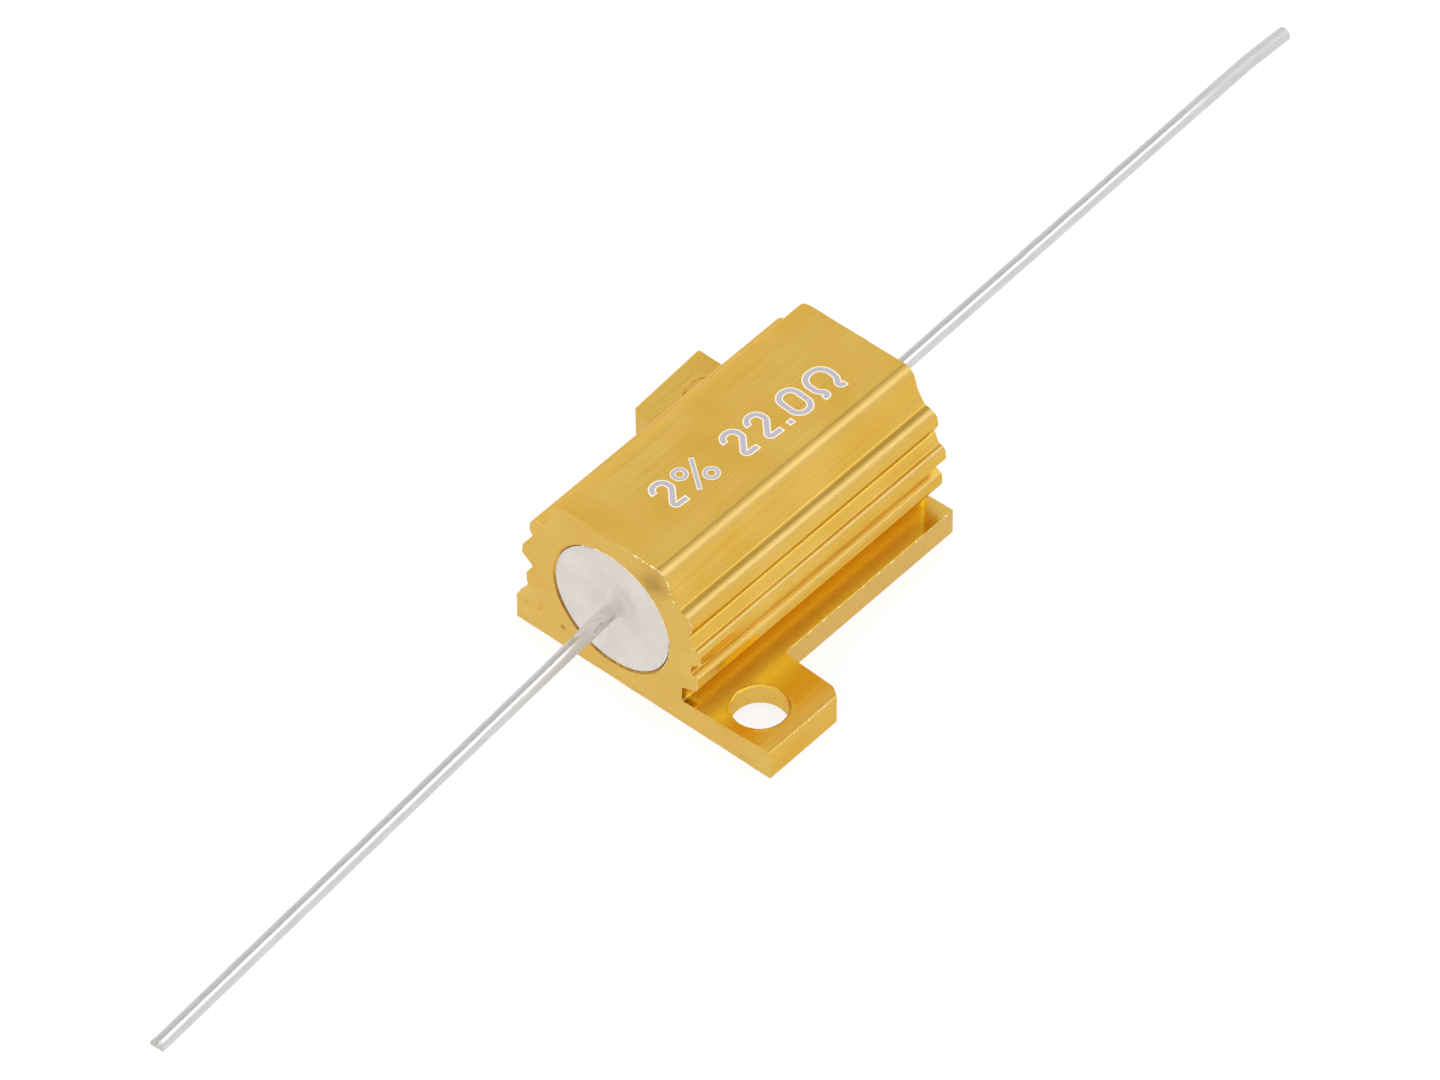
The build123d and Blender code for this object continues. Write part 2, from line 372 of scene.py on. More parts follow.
# %% From points and faces to a piece
def dress(name, points, faces, finishes, kinds=None, crease=28.0, values=None):
    """Makes a closed piece from points in mm, rides it on the body and gives it its finishes.

    kinds numbers the finish of each face, values holds one named number per point for a shader, and
    an edge that turns by more than crease degrees is drawn sharp."""
    mesh = bpy.data.meshes.new(name)
    mesh.from_pydata((np.asarray(points).reshape(-1, 3) * MM).tolist(), [], [list(f) for f in faces])
    if kinds is not None:
        mesh.polygons.foreach_set("material_index", np.asarray(kinds, np.int32))
    for label, numbers in (values or {}).items():
        mesh.attributes.new(label, "FLOAT", "POINT").data.foreach_set("value", np.ravel(numbers))
    solid = bmesh.new()
    solid.from_mesh(mesh)
    bmesh.ops.remove_doubles(solid, verts=solid.verts, dist=2e-8)
    bmesh.ops.recalc_face_normals(solid, faces=solid.faces)
    volume = solid.calc_volume(signed=True) / MM**3
    loose = sum(not edge.is_manifold for edge in solid.edges)
    solid.to_mesh(mesh)
    solid.free()
    mesh.polygons.foreach_set("use_smooth", np.ones(len(mesh.polygons), bool))
    mesh.set_sharp_from_angle(angle=radians(crease))
    for material in finishes:
        mesh.materials.append(material)
    piece = bpy.data.objects.new(name, mesh)
    bpy.context.scene.collection.objects.link(piece)
    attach(piece, "root")
    print(f"{name}: {len(mesh.polygons)} faces, {volume:.2f} mm3, {loose} open edges")
    return piece

# %% [markdown]
# ## Gold anodised aluminium
#
# Anodising leaves the metal's tool marks and adds a thin dyed film, so gold parts that were worked
# in different ways differ in gloss, not in hue. Three finishes share one recipe. The extruded skin has
# fine draw lines along the length, the sawn ends have short marks across, and the milled flange edges
# are the mattest and palest. The colour is the metal's own reflection, so the shader is fully metallic
# with a weak clear coat for the film, and small pits break its highlights up.
#
# The skin isn't one gold all over, and noise can't know where it changes. So the mesh holds two
# numbers for each point, given to it further down. The first rises above 0 into the crevice under
# the fins, where it paints in the orange and then bright yellow of light that bounces between gold
# walls. It is -1 on the left, where it paints the flange lighter as if it caught the light. The
# second is above 0 where it paints a pale highlight on the ribs, and below 0 where it darkens the
# gold: painted shade in the notch at the front, and a darker lower half of the bore.

# %% Painted light and shade on the skin
# Painted bounce light, painted light, painted highlight, and one dark gold for stains and painted shade
painted_bounce_orange, painted_bounce_yellow = (0.80, 0.47, 0.035, 1), (1.0, 0.78, 0.08, 1)
painted_bounce_root, lit_gold = (0.86, 0.50, 0.03, 1), (0.84, 0.56, 0.145, 1)
painted_highlight_gold, stain_and_shade_gold, edge_gold = shade(219, 190, 120), shade(140, 100, 42), shade(240, 212, 150)


def painted_light_and_darkening(tree, shader, tint):
    """Lays tints over the skin, each growing from its start to its full value of a mesh number.

    The tints are painted bounce light in the crevice, painted light on the left flange, a painted
    highlight on the ribs, and painted shade and darkening. The deepest crevice is also less metallic,
    so that its painted colour shows whatever it faces, and edge_gold keeps the film warm at grazing
    angles."""
    shader.inputs["Specular Tint"].default_value = edge_gold
    painted_light_share = on_mesh(tree, "painted_light_share")
    patchy = between(tree, grain(tree, 0.1, (1, 3, 1), shift=15.0), 0.35, 1.1)
    painted_highlight_and_darkening = maths(tree, "MULTIPLY", on_mesh(tree, "painted_highlight_and_darkening"), patchy)
    # Painted bounce light, painted lit flange, painted highlights, then painted shade and darkening
    layers = (
        (painted_light_share, 0.0, 0.35, 0.85, painted_bounce_orange),
        (painted_light_share, 0.4, 1.0, 1.0, painted_bounce_yellow),
        (painted_light_share, 0.0, -1.0, 1.0, lit_gold),
        (painted_highlight_and_darkening, 0.0, 1.0, 1.0, painted_highlight_gold),
        (painted_highlight_and_darkening, 0.0, -1.0, 1.0, stain_and_shade_gold),
        (painted_light_share, 1.05, 1.35, 1.0, painted_bounce_root),
    )
    for number, start, full, share, colour in layers:
        tint = blend_colours(tree, between(tree, number, 0.0, share, start, full), tint, colour)
    # Less metallic in the deepest crevice, so its painted bounce colour shows whatever it reflects
    feed(tree, shader, Metallic=between(tree, painted_light_share, 1.0, 0.7, 0.55, 0.95))
    return tint


print("painted highlight gold, linear:", [round(c, 3) for c in painted_highlight_gold[:3]])

# %% The recipe for gold
cloudy_gold, pale_gold, deep_gold = shade(221, 176, 68), shade(231, 194, 94), shade(198, 150, 48)


def anodised(name, gold, lines, roughness, depth, marks_and_shade_at=(), skin=False):
    """Gold film over metal whose tool marks are drawn out by the factors in lines.

    The list of marks holds dark marks and painted shade, each with its place, its reach in mm and
    its strength. With skin the finish also follows the mesh's two numbers."""
    made, tree, shader = finish(name, Metallic=1.0, Coat_Weight=0.3, Coat_Roughness=0.15)
    tool_marks = grain(tree, 0.07, lines, detail=3.0)
    broad = grain(tree, 0.9, [d**0.4 for d in lines], detail=2.0, shift=3.0)
    cloud = grain(tree, 2.6, detail=1.0, shift=7.0)
    pitted = grain(tree, 0.075, detail=2.0, shift=11.0)
    tint = mottled(tree, cloud, gold, cloudy_gold)
    tint = blend_colours(tree, between(tree, broad, 0.0, 0.35), tint, pale_gold)
    tint = blend_colours(tree, between(tree, tool_marks, 0.4, 0.0), tint, deep_gold)
    if skin:
        tint = painted_light_and_darkening(tree, shader, tint)
    tint = marked(tree, tint, stain_and_shade_gold, marks_and_shade_at)
    feed(tree, shader, Base_Color=tint, Roughness=between(tree, broad, *roughness))
    relief(tree, shader, (broad, depth * 4), (tool_marks, depth), (pitted, 0.0045))
    return made


print("pale gold, linear:", [round(c, 3) for c in pale_gold[:3]])

# %% Three gold finishes
skin_marks = (
    ((3.1, -face, axis_height + 2.9), 0.35, 0.35),
    # A darker lower left of the bore wall.
    ((-2.5, -face, axis_height - 1.4), 1.5, 0.95),
)
face_marks_and_shade = (
    # Painted shade: a soft dark patch below the top right corner of the sawn face.
    ((2.45, -face, axis_height + 3.1), 0.75, 0.42),
    ((-2.62, -face, 1.11), 0.2, 0.8),
    ((-4.6, -face, 1.15), 0.3, 0.2),
)
skin_gold, sawn, milled = shade(230, 190, 92), shade(229, 188, 79), shade(216, 174, 72)
extruded_gold = anodised(
    "extruded_gold", skin_gold, (1, 90, 1), (0.2, 0.29), 0.0022, skin_marks, skin=True
)
sawn_gold = anodised("sawn_gold", sawn, (12, 1, 1), (0.34, 0.44), 0.003, face_marks_and_shade)
milled_gold = anodised("milled_gold", milled, (1, 1, 9), (0.36, 0.46), 0.004)
print("skin gold, linear:", [round(c, 3) for c in skin_gold[:3]])

# %% [markdown]
# ## The housing's section
#
# The extruder's die gives the outline: a flat top, a sloping shoulder, three rounded fins a side, a
# neck and the flange. It is drawn as corners with radii, from the top round to the flange.
# Past the neck the flange is handled apart, because a milling cutter later changes its width.

# %% Outline from the top to the neck
top_half_width, top_corner_radius = 2.96, 0.65
neck = 3.7
from_axis = [
    (3.25, 3.0, 1.2),
    (3.6, 2.45, 0.2), (4.02, 2.39, 0.45), (4.27, 2.12, 0.3), (4.33, 1.72, 0.3), (4.14, 1.32, 0.25),
    (4.35, 0.73, 0.15), (4.58, 0.7, 0.2), (4.72, 0.54, 0.2), (4.77, 0.06, 0.2), (4.23, -0.36, 0.15),
    (4.18, -0.77, 0.1), (4.57, -0.96, 0.16), (4.56, -1.63, 0.28), (neck, -1.94, 0.2),
]
root_thickness, tip_thickness = 1.25, 1.47
flange_start = 4.0


def flange_top(x):
    """Height of the flange's sloping top: a straight line from the neck out to the tip."""
    return root_thickness + (tip_thickness - root_thickness) * (x - neck) / (lug_reach - neck)


outline = [(0, top, 0), (top_half_width, top, top_corner_radius)]
outline += [(across, axis_height + rise, radius) for across, rise, radius in from_axis]
outline += [(neck, root_thickness, 0.14), (flange_start, flange_top(flange_start), 0)]
body = rounded_line(outline, longest=0.35)
print("points from the top to the flange:", len(body))

# %% [markdown]
# ## The milled flange, seen from above
#
# Both flanges are cut back by a milling cutter that leaves one lug at each end, on opposite sides. An
# easy way is a boolean cut, but it leaves long thin faces that shade badly. Here the grid itself
# follows the cutter: each station along the body has its own flange edge, which runs round the lug's
# corner and along the cut. Stations also crowd round the hole, where a square block of cells will
# make room for it. The left side is the right side turned half a turn about Z, so the stations are
# kept symmetrical.

# %% Where the cutter and the drill go
cut_x, cut_lug, lug_end, corner_cut = 5.15, 4.6, 4.38, 0.22
cut_fillet, corner_lead = 0.25, 0.3
hole_span, hole_inset = 6.35, 1.7
hole_radius, base_break = 1.18, 0.35
hole_block, hole_cells = 1.56, 16   # half the side of the square round a hole, and its cells a side
edge_break = 0.03
block_front, block_rear = hole_inset - hole_block - face, hole_inset + hole_block - face

cutter_path = rounded_line(
    [(lug_reach - corner_cut, lug_end - face, 0), (cut_x, cut_lug - face, cut_fillet), (cut_x, 0, 0)],
    longest=0.2, turn=12.0,
)
on_lug = cutter_path[cutter_path[:, 1] < cut_lug - face + 1.02 * cut_fillet]
straight_start = on_lug[-1, 1]
print("points that the cutter leaves round the lug's corner:", len(on_lug))


# %% Stations along the body and their flange edges
def steps(start, stop, count):
    """The ends of count even steps from start to stop."""
    return np.linspace(start, stop, count + 1)[1:]


lead_cells, corner_cells, narrow_cells = 6, 3, 44
turning = corner_cells + len(on_lug) - 1
body_y = np.concatenate([
    [-face, -face + edge_break],
    steps(-face + edge_break, block_front, 2),
    steps(block_front, block_rear, hole_cells),
    steps(block_rear, lug_end - face - corner_lead, lead_cells),
    steps(lug_end - face - corner_lead, straight_start, turning),
])
edge = np.stack([np.full_like(body_y, lug_reach), body_y], axis=1)
corner_start = lug_end - corner_cut - face
edge[-turning - lead_cells:-turning, 1] = steps(block_rear, corner_start, lead_cells)
edge[-turning:corner_cells - turning] = np.stack([
    steps(lug_reach, lug_reach - corner_cut, corner_cells),
    steps(corner_start, lug_end - face, corner_cells),
], axis=1)
edge[corner_cells - turning:] = on_lug[1:]
middle = np.linspace(straight_start, -straight_start, narrow_cells + 1)[1:-1]
narrow_y = np.concatenate([middle, -body_y[::-1]])
narrow = np.stack([np.full_like(narrow_y, cut_x), narrow_y], axis=1)
station_y = np.concatenate([body_y, narrow_y])
edge = np.concatenate([edge, narrow])
stations = len(station_y)
print("stations:", stations, "symmetrical:", np.allclose(station_y, -station_y[::-1]))

# %% [markdown]
# ## Rows across the flange
#
# The rows of the flange are measured from its root to its edge, station by station. On a lug the
# outer edge has the extrusion's rounding. On the cut it is nearly sharp. Along the corner cut the
# rounding is simply cut short, as the cutter does it. The columns leave the square block of cells
# where the hole will be, and the same columns come back along the base.

# %% Columns and the edge's rounding
tip_radius, milled_radius, base_radius = 0.15, 0.03, 0.05
column_end = lug_reach - 0.17
hole_column = 3
columns = np.concatenate([
    steps(flange_start, hole_span - hole_block, hole_column + 1),
    steps(hole_span - hole_block, hole_span + hole_block, hole_cells),
    steps(hole_span + hole_block, column_end, 2),
])
share_out = (columns - flange_start) / (column_end - flange_start)

lean = atan2(tip_thickness - root_thickness, lug_reach - neck)
round_x0, round_z0 = lug_reach - tip_radius, tip_thickness - tip_radius / np.tan((pi / 2 - lean) / 2)
round_start = round_x0 - tip_radius * sin(lean)
edge_x = edge[:, :1]
reach = np.minimum(column_end, edge_x - 0.08)
flat_x = flange_start + (reach - flange_start) * share_out
shoulder = np.minimum(round_start, edge_x - milled_radius)

quarter = np.linspace(0, 1, 7)[1:]
full_turn = np.arcsin(np.clip((edge_x - round_x0) / tip_radius, -1, 1))
big = -lean + (full_turn + lean) * quarter
big_x, big_z = round_x0 + tip_radius * np.sin(big), round_z0 + tip_radius * np.cos(big)
small = quarter * pi / 2
small_x = edge_x - milled_radius + milled_radius * np.sin(small)
small_z = flange_top(edge_x - milled_radius) - milled_radius * (1 - np.cos(small))
is_round = edge_x > round_start + milled_radius
round_x, round_z = np.where(is_round, big_x, small_x), np.where(is_round, big_z, small_z)
print("stations with the extrusion's own rounded edge:", int(is_round.sum()))

# %% Right-hand half of every station
side_share = np.array([0.03, 0.25, 0.5, 0.75, 0.97])
side_z = round_z[:, -1:] + (base_radius - round_z[:, -1:]) * side_share
corner = np.linspace(0, pi / 2, 5)
corner_x = edge_x - base_radius * (1 - np.cos(corner))
corner_z = base_radius * (1 - np.sin(corner)) + 0 * edge_x
inner_x = flange_start * np.linspace(1, 0, 9)[1:] + 0 * edge_x

row_x = np.concatenate([
    np.broadcast_to(body[:, 0], (stations, len(body))), flat_x, shoulder, round_x,
    edge_x + 0 * side_z, corner_x, flat_x[:, ::-1], np.full_like(edge_x, flange_start), inner_x,
], axis=1)
row_z = np.concatenate([
    np.broadcast_to(body[:, 1], (stations, len(body))), flange_top(flat_x), flange_top(shoulder),
    round_z, side_z, corner_z, 0 * flat_x, 0 * edge_x, 0 * inner_x,
], axis=1)
towards_edge = np.clip((row_x - flange_start) / (edge_x - flange_start), 0, 1)
row_y = station_y[:, None] + (edge[:, 1:] - station_y[:, None]) * towards_edge
half = np.stack([row_x, row_y, row_z], axis=-1)
rows = half.shape[1]
edge_start = len(body) + len(columns) + 1
edge_end = edge_start + len(quarter) + len(side_share) + len(corner)
print("rows a side:", rows, "of which round the edge:", edge_end - edge_start)

# %% [markdown]
# ## Closing the section
#
# The left half of a station is the right half of its mirror station, turned half round. The two
# halves share the point in the middle of the top and the one in the middle of the base, so the
# section closes into a ring. The two end stations are drawn in a few hundredths of a millimetre, a
# little unevenly, which is the broken edge that a saw and a tumbler leave.

# %% Rings of points, with broken edges at the ends
turned = half[::-1] * np.array([-1.0, -1.0, 1.0])
rings = np.concatenate([half, turned[:, rows - 2:0:-1]], axis=1)
around = rings.shape[1]

for station, inner in ((0, 1), (stations - 1, stations - 2)):
    ring = rings[inner][:, [0, 2]]
    tangent = np.roll(ring, -1, axis=0) - np.roll(ring, 1, axis=0)
    length = np.maximum(np.hypot(*tangent.T), 1e-9)
    inward = np.stack([tangent[:, 1], -tangent[:, 0]], axis=1) / length[:, None]
    run = np.cumsum(np.hypot(*(ring - np.roll(ring, 1, axis=0)).T))
    uneven = ripple(run, (3.1, 1.3, 0.7, 0.41), seed=station + 5)
    width = edge_break * (1 + 0.45 * uneven)
    rings[station][:, [0, 2]] = ring + inward * width[:, None]
points = rings.reshape(-1, 3)
print("points round a station:", around, "in all:", len(points))

# %% [markdown]
# ## The fixing holes
#
# On each lug a block of cells is left out of the top and of the base. Rings of points then lead from
# the square gap on top in to the rim, over the lip that the drill has raised there, down the wall,
# out over the wide edge break underneath, and to the square gap in the base. Joining whole rings
# like this keeps the circle round and its rim clean.

# %% The rings that line a hole
square_points = 4 * hole_cells
lip_height, lip_foot = 0.018, 0.16


def block_square(row, column, row_way=1, column_way=1):
    """Numbers of the points round a block of cells, in order round its four sides."""
    n = hole_cells
    i = np.concatenate([np.zeros(n), np.arange(n), np.full(n, n), np.arange(n, 0, -1)])
    j = np.concatenate([np.arange(n), np.full(n, n), np.arange(n, 0, -1), np.zeros(n)])
    return ((row + row_way * i) * around + column + column_way * j).astype(int)


def drilled(top_square, centre):
    """Rings of points from the gap on top, down the hole's wall, to the gap in the base.

    A ring is centre + radius * (cos a, sin a), with a and the square's own distance, out, read from
    the gap. Round the rim the drill's lip is lifted by burr, which comes and goes with the angle."""
    square = points[top_square]
    angle = np.arctan2(square[:, 1] - centre[1], square[:, 0] - centre[0])
    out = np.hypot(square[:, 0] - centre[0], square[:, 1] - centre[1])
    circle = np.stack([np.cos(angle), np.sin(angle)], axis=1)
    burr = lip_height * (1.2 + ripple(angle, (2 * pi, pi, 2 * pi / 5, 2 * pi / 9), seed=3)) / 2
    on_top = [(out + (hole_radius + lip_foot - out) * s, 0.0 * burr) for s in (0.3, 0.6, 0.85, 0.97)]
    lip = ((0.13, 0.3), (0.09, 1.0), (0.05, 1.0), (0.02, 0.2), (0.0, -1.6))
    on_top += [(hole_radius + past, lift * burr) for past, lift in lip]
    lining = []
    for radius, lift in on_top:
        ring = centre + circle * np.reshape(radius, (-1, 1))
        lining.append(np.column_stack([ring, flange_top(np.abs(ring[:, 0])) + lift]))
    below = [(hole_radius, z) for z in (1.2, 0.9, 0.6, base_break + 0.02, base_break)]
    below += [(hole_radius + base_break * s, base_break * (1 - s)) for s in (0.08, 0.5, 0.95, 1.0)]
    for radius, z in below:
        lining.append(np.column_stack([centre + circle * radius, np.full(square_points, z)]))
    for share in (0.15, 0.4, 0.7):
        radius = hole_radius + base_break + (out - hole_radius - base_break) * share
        lining.append(np.column_stack([centre + circle * radius[:, None], np.zeros(square_points)]))
    return np.stack(lining)


# %% Leave the cells out and line both holes
top_column = len(body) + hole_column
base_column = edge_end + len(columns) - 1 - hole_column
front_row = int(np.argmin(abs(body_y - block_front)))
rear_row, last_point = stations - 1 - front_row, 2 * rows - 2
squares = (
    (block_square(front_row, top_column), block_square(front_row, base_column, 1, -1), (1, -1)),
    (
        block_square(rear_row, last_point - top_column, -1, -1),
        block_square(rear_row, last_point - base_column, -1, 1),
        (-1, 1),
    ),
)
keep = np.ones((stations - 1, around), bool)
hole_points, hole_quads = [], []
for top_square, base_square, (side, end) in squares:
    centre = np.array([side * hole_span, end * (face - hole_inset)])
    lining = drilled(top_square, centre)
    start = len(points) + sum(len(p) for p in hole_points)
    numbers = start + np.arange(lining.shape[0] * square_points).reshape(-1, square_points)
    numbers = np.concatenate([top_square[None], numbers, base_square[None]])
    hole_points.append(lining.reshape(-1, 3))
    hole_quads.append(numbers.ravel()[grid_quads(len(numbers), square_points)])
    for square in (top_square, base_square):
        low_i, high_i = (square // around).min(), (square // around).max()
        low_j, high_j = (square % around).min(), (square % around).max()
        keep[low_i:high_i, low_j:high_j] = False
skin_quads = grid_quads(stations, around)[keep.ravel()]
for label, square in (("top", squares[0][0]), ("base", squares[0][1])):
    print(f"block on the {label}, mm:", points[square].min(0).round(3), points[square].max(0).round(3))

# %% [markdown]
# ## Bore, and what use has done to the lugs
#
# The bore is a tube through the middle with its edges just broken. Two small changes then give the
# lugs the look of parts that were cut and handled: the rear lug's outer edge flares out a
# little towards its end, and the front lug's outer corner was filed off by hand, less evenly
# than the cutter would do it. Both simply move the points that are there.

# %% The bore
bore_radius, bore_break, bore_sides = 3.0, 0.1, 96
angle = np.linspace(0, 2 * pi, bore_sides, endpoint=False)
bore_y = np.array([-face, bore_break - face, 0.3 - face, 0, face - 0.3, face - bore_break, face])
bore_r = (bore_radius + bore_break * np.array([1, 0, 0, 0, 0, 0, 1]))[:, None]
bore_x, bore_z = bore_r * np.cos(angle), axis_height + bore_r * np.sin(angle)
bore = np.stack(np.broadcast_arrays(bore_x, bore_y[:, None], bore_z), axis=-1)
all_points = np.concatenate([points, *hole_points, bore.reshape(-1, 3)])
bore_start = len(all_points) - bore_x.size
bore_quads = bore_start + grid_quads(len(bore_y), bore_sides)
print("points in all:", len(all_points))

# %% A flared lug and a filed corner
flare, flare_root, cut_start = 0.26, 7.85, face - lug_end
filed_across, filed_along = 0.48, 0.32

past_cut = np.clip((all_points[:, 1] - cut_start) / (face - cut_start), 0, 1)
past_root = np.clip((-flare_root - all_points[:, 0]) / (lug_reach - flare_root), 0, 1)
all_points[:, 0] -= flare * (past_cut * past_root)

filed_from = np.array([lug_reach - filed_across, lug_end - face])
filed_to = np.array([lug_reach, lug_end - face - filed_along])
square_off = unit(np.array([filed_from[1] - filed_to[1], filed_to[0] - filed_from[0]]))
on_front_lug = (all_points[:, 1] < 0) & (all_points[:, 0] > lug_reach - 1.3)
filed = np.maximum((all_points[:, :2] - filed_from) @ square_off, 0) * on_front_lug
all_points[:, :2] -= filed[:, None] * square_off
print("flare, mm:", round(-lug_reach - all_points[:, 0].min(), 3))
print("filed off the corner, mm:", round(filed.max(), 3))

# %% [markdown]
# ## Where painted light, painted highlights and darkening go on the skin
#
# The finish needs two numbers for every point of the housing. A picture painted by hand could give
# them, but the shape already knows. The crevice that gets painted bounce light is what lies behind a
# straight line from the flange's tip to the lowest fin. A rib gets a painted highlight where the
# outline bends outwards and faces up and out, where the softbox's highlight falls. So both are
# worked out from the coordinates, and change with them. The left flange at the front is painted
# lighter. Darkening is kept to the notch at the front, where it is painted shade, and to the lower
# half of the bore.

# %% How much painted light a point gets
crevice_depth, crevice_top, flange_skin = 3.2, 2.1, 0.06
notch_root, notch_reach, notch_top = 3.0, 4.25, 2.2
fin_underside, fin_reach = 2.35, 4.57
fade_slope, fade_root = 1.12, 3.6
left_root, left_lit = 3.2, 6.0


def shelter(x, y, z):
    """The share of painted bounce light: (mouth - x) / crevice_depth, held from 0 to 1.4, where mouth
    is the line from tip to fin.

    It is kept to the right-hand crevice above the flange, fades out along a slanting line towards
    the rear and over the first 0.45 mm of the notch. It is -1 on the left flange at the front,
    which is painted lighter."""
    mouth = np.interp(z, [tip_thickness, fin_underside], [lug_reach, fin_reach])
    deep = np.clip((mouth - x) / crevice_depth, 0, 1.4)
    above_flange = np.clip((z - flange_top(x) + flange_skin) / 0.04, 0, 1)
    past_end = y + fade_slope * (x - fade_root) - face
    rear_fade = np.clip(0.5 - past_end / 0.5, 0, 1)
    notch_fade = np.where(x < notch_reach, np.clip((y + face - 0.15) / 0.3, 0, 1), 1)
    on_right = (x >= 0) & (z <= crevice_top)
    on_left = (x < -left_root) & (z < 1.5) & (z > flange_top(-x) - flange_skin)
    lit = on_left * np.clip((-y - left_lit) / 0.4, 0, 1)
    return deep * above_flange * rear_fade * notch_fade * on_right - lit


x, y, z = all_points[:bore_start].T
painted_light_share, painted_highlight_and_darkening = np.zeros(len(all_points)), np.zeros(len(all_points))
# The number that paints bounce light into the crevice and lighter gold onto the left flange.
painted_light_share[:bore_start] = shelter(x, y, z)
print("sheltered from", painted_light_share.min().round(2), "to", painted_light_share.max().round(2))

# %% Painted highlights on the ribs, and darkening
ahead = np.gradient(body, axis=0)
facing = np.arctan2(ahead[:, 0], -ahead[:, 1])              # the way the skin faces, up from level
bend = -np.gradient(facing) / np.hypot(*ahead.T)            # above 0 on a rib, below 0 in a groove
# A rib gets a painted highlight where it faces the way the softbox's highlight falls. Groove 1 gets some
# painted highlight and painted bounce light, which lighten its shade.
rib_facing, rib_spread, groove_rise = radians(60), radians(20), 1.32
groove = np.clip(-bend / 2, 0, 1) * (abs(body[:, 1] - axis_height - groove_rise) < 0.3)
up_and_out = np.clip(1.25 - abs(facing - rib_facing) / rib_spread, 0, 1)
painted_highlight_rib = np.maximum(np.clip(bend / 1.2, 0, 1) * up_and_out, 0.35 * groove)
for numbers, along_outline in ((painted_highlight_and_darkening, painted_highlight_rib), (painted_light_share, 0.9 * groove)):
    by_station = numbers[:stations * around].reshape(stations, around)[:, :len(body)]
    by_station[:] = np.maximum(by_station, along_outline)

notch_front, painted_notch_shade, lower_bore_darkening = -7.05, 0.8, 0.9
in_notch = (x > notch_root) & (x < notch_reach) & (z < notch_top)
# Painted shade at the front of the notch, in the dark gold.
painted_highlight_and_darkening[:bore_start] -= painted_notch_shade * in_notch * np.clip((notch_front - y) / 0.3, 0, 1)
# The lower half of the bore wall is darker.
painted_highlight_and_darkening[bore_start:] = -lower_bore_darkening * np.clip((axis_height + 1 - all_points[bore_start:, 2]) / 2, 0, 1)
print("rubbed from", painted_highlight_and_darkening.min().round(2), "to", painted_highlight_and_darkening.max().round(2))

# %% [markdown]
# ## Sawn ends, and the finish of each face
#
# Each sawn end is one flat face between the outer ring and the bore. Blender's tessellator fills such
# a flat shape with its hole, and because the face is flat its triangles shade evenly. Then every
# face is told its finish: extruded skin, sawn end or milled edge. The milled faces are those
# round the flange's edge, wherever the cutter has passed.

# %% Fill the ends
def sawn_end(outer, inner):
    """Triangles between an outer ring and an inner ring of point numbers that lie in one plane."""
    loops = [[Vector(p) for p in all_points[numbers]] for numbers in (outer, inner)]
    return np.concatenate([outer, inner])[np.array(tessellate_polygon(loops))]


round_station, round_bore = np.arange(around), bore_start + np.arange(bore_sides)
ends = np.concatenate([
    sawn_end(row * around + round_station, bore_row * bore_sides + round_bore)
    for row, bore_row in ((0, 0), (stations - 1, len(bore_y) - 1))
])
print("triangles on the sawn ends:", len(ends))

# %% Which faces are milled, and the finished housing
skin_kind, sawn_kind, milled_kind = 0, 1, 2
milled_station = edge[1:, :1] < lug_reach - 0.001
on_edge = (np.arange(around) > edge_start) & (np.arange(around) < edge_end)
kinds_grid = np.where(milled_station & on_edge, milled_kind, skin_kind)
kinds_grid = np.maximum(kinds_grid, np.roll(kinds_grid[::-1, ::-1], -1, axis=1))
kinds_grid[[0, -1]] = sawn_kind
lining_quads = np.concatenate([*hole_quads, bore_quads])
kinds = np.concatenate([
    kinds_grid.ravel()[keep.ravel()],
    np.full(len(lining_quads), skin_kind),
    np.full(len(ends), sawn_kind),
])
housing = dress(
    "finned_housing", all_points, [*skin_quads.tolist(), *lining_quads.tolist(), *ends.tolist()],
    (extruded_gold, sawn_gold, milled_gold), kinds,
    values={"painted_light_share": painted_light_share, "painted_highlight_and_darkening": painted_highlight_and_darkening},
)
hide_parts("housing")

# %% The CAD node's own volume, to compare
check = bmesh.new()
check.from_mesh(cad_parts["housing"].data)
bmesh.ops.remove_doubles(check, verts=check.verts, dist=1e-7)
print("CAD housing, mm3:", round(check.calc_volume() / MM**3, 2))
check.free()

# %% [markdown]
# ## The two wires
#
# Each lead is stiff tinned wire, bent a few degrees where it was straightened by hand. A lead could be
# a curve with a bevel, but its two ends differ: side cutters pinched the front one into a blunt wedge,
# and the rear one was tumbled round. So each is a grid: rings of points carried along the route, with
# the end worked into the last rings. Slight dents, one deep nick and a ring left by pliers are
# changes of the radius.
#
# A wire's gloss isn't the same all round. The mesh holds two numbers for that. One paints a
# highlight, a bright strip where the softbox's highlight falls, with a painted dark line beside it,
# and `scuffed` is where cement haze or tumbling has taken the shine off.

# %% Tinned wire
scuffed_roughness, scuffed_metal = 0.35, 0.45
# Colours of the painted highlight strip and of the painted dark line beside it.
painted_highlight_tin, painted_dark_line_tin = shade(242, 240, 238), shade(166, 164, 162)


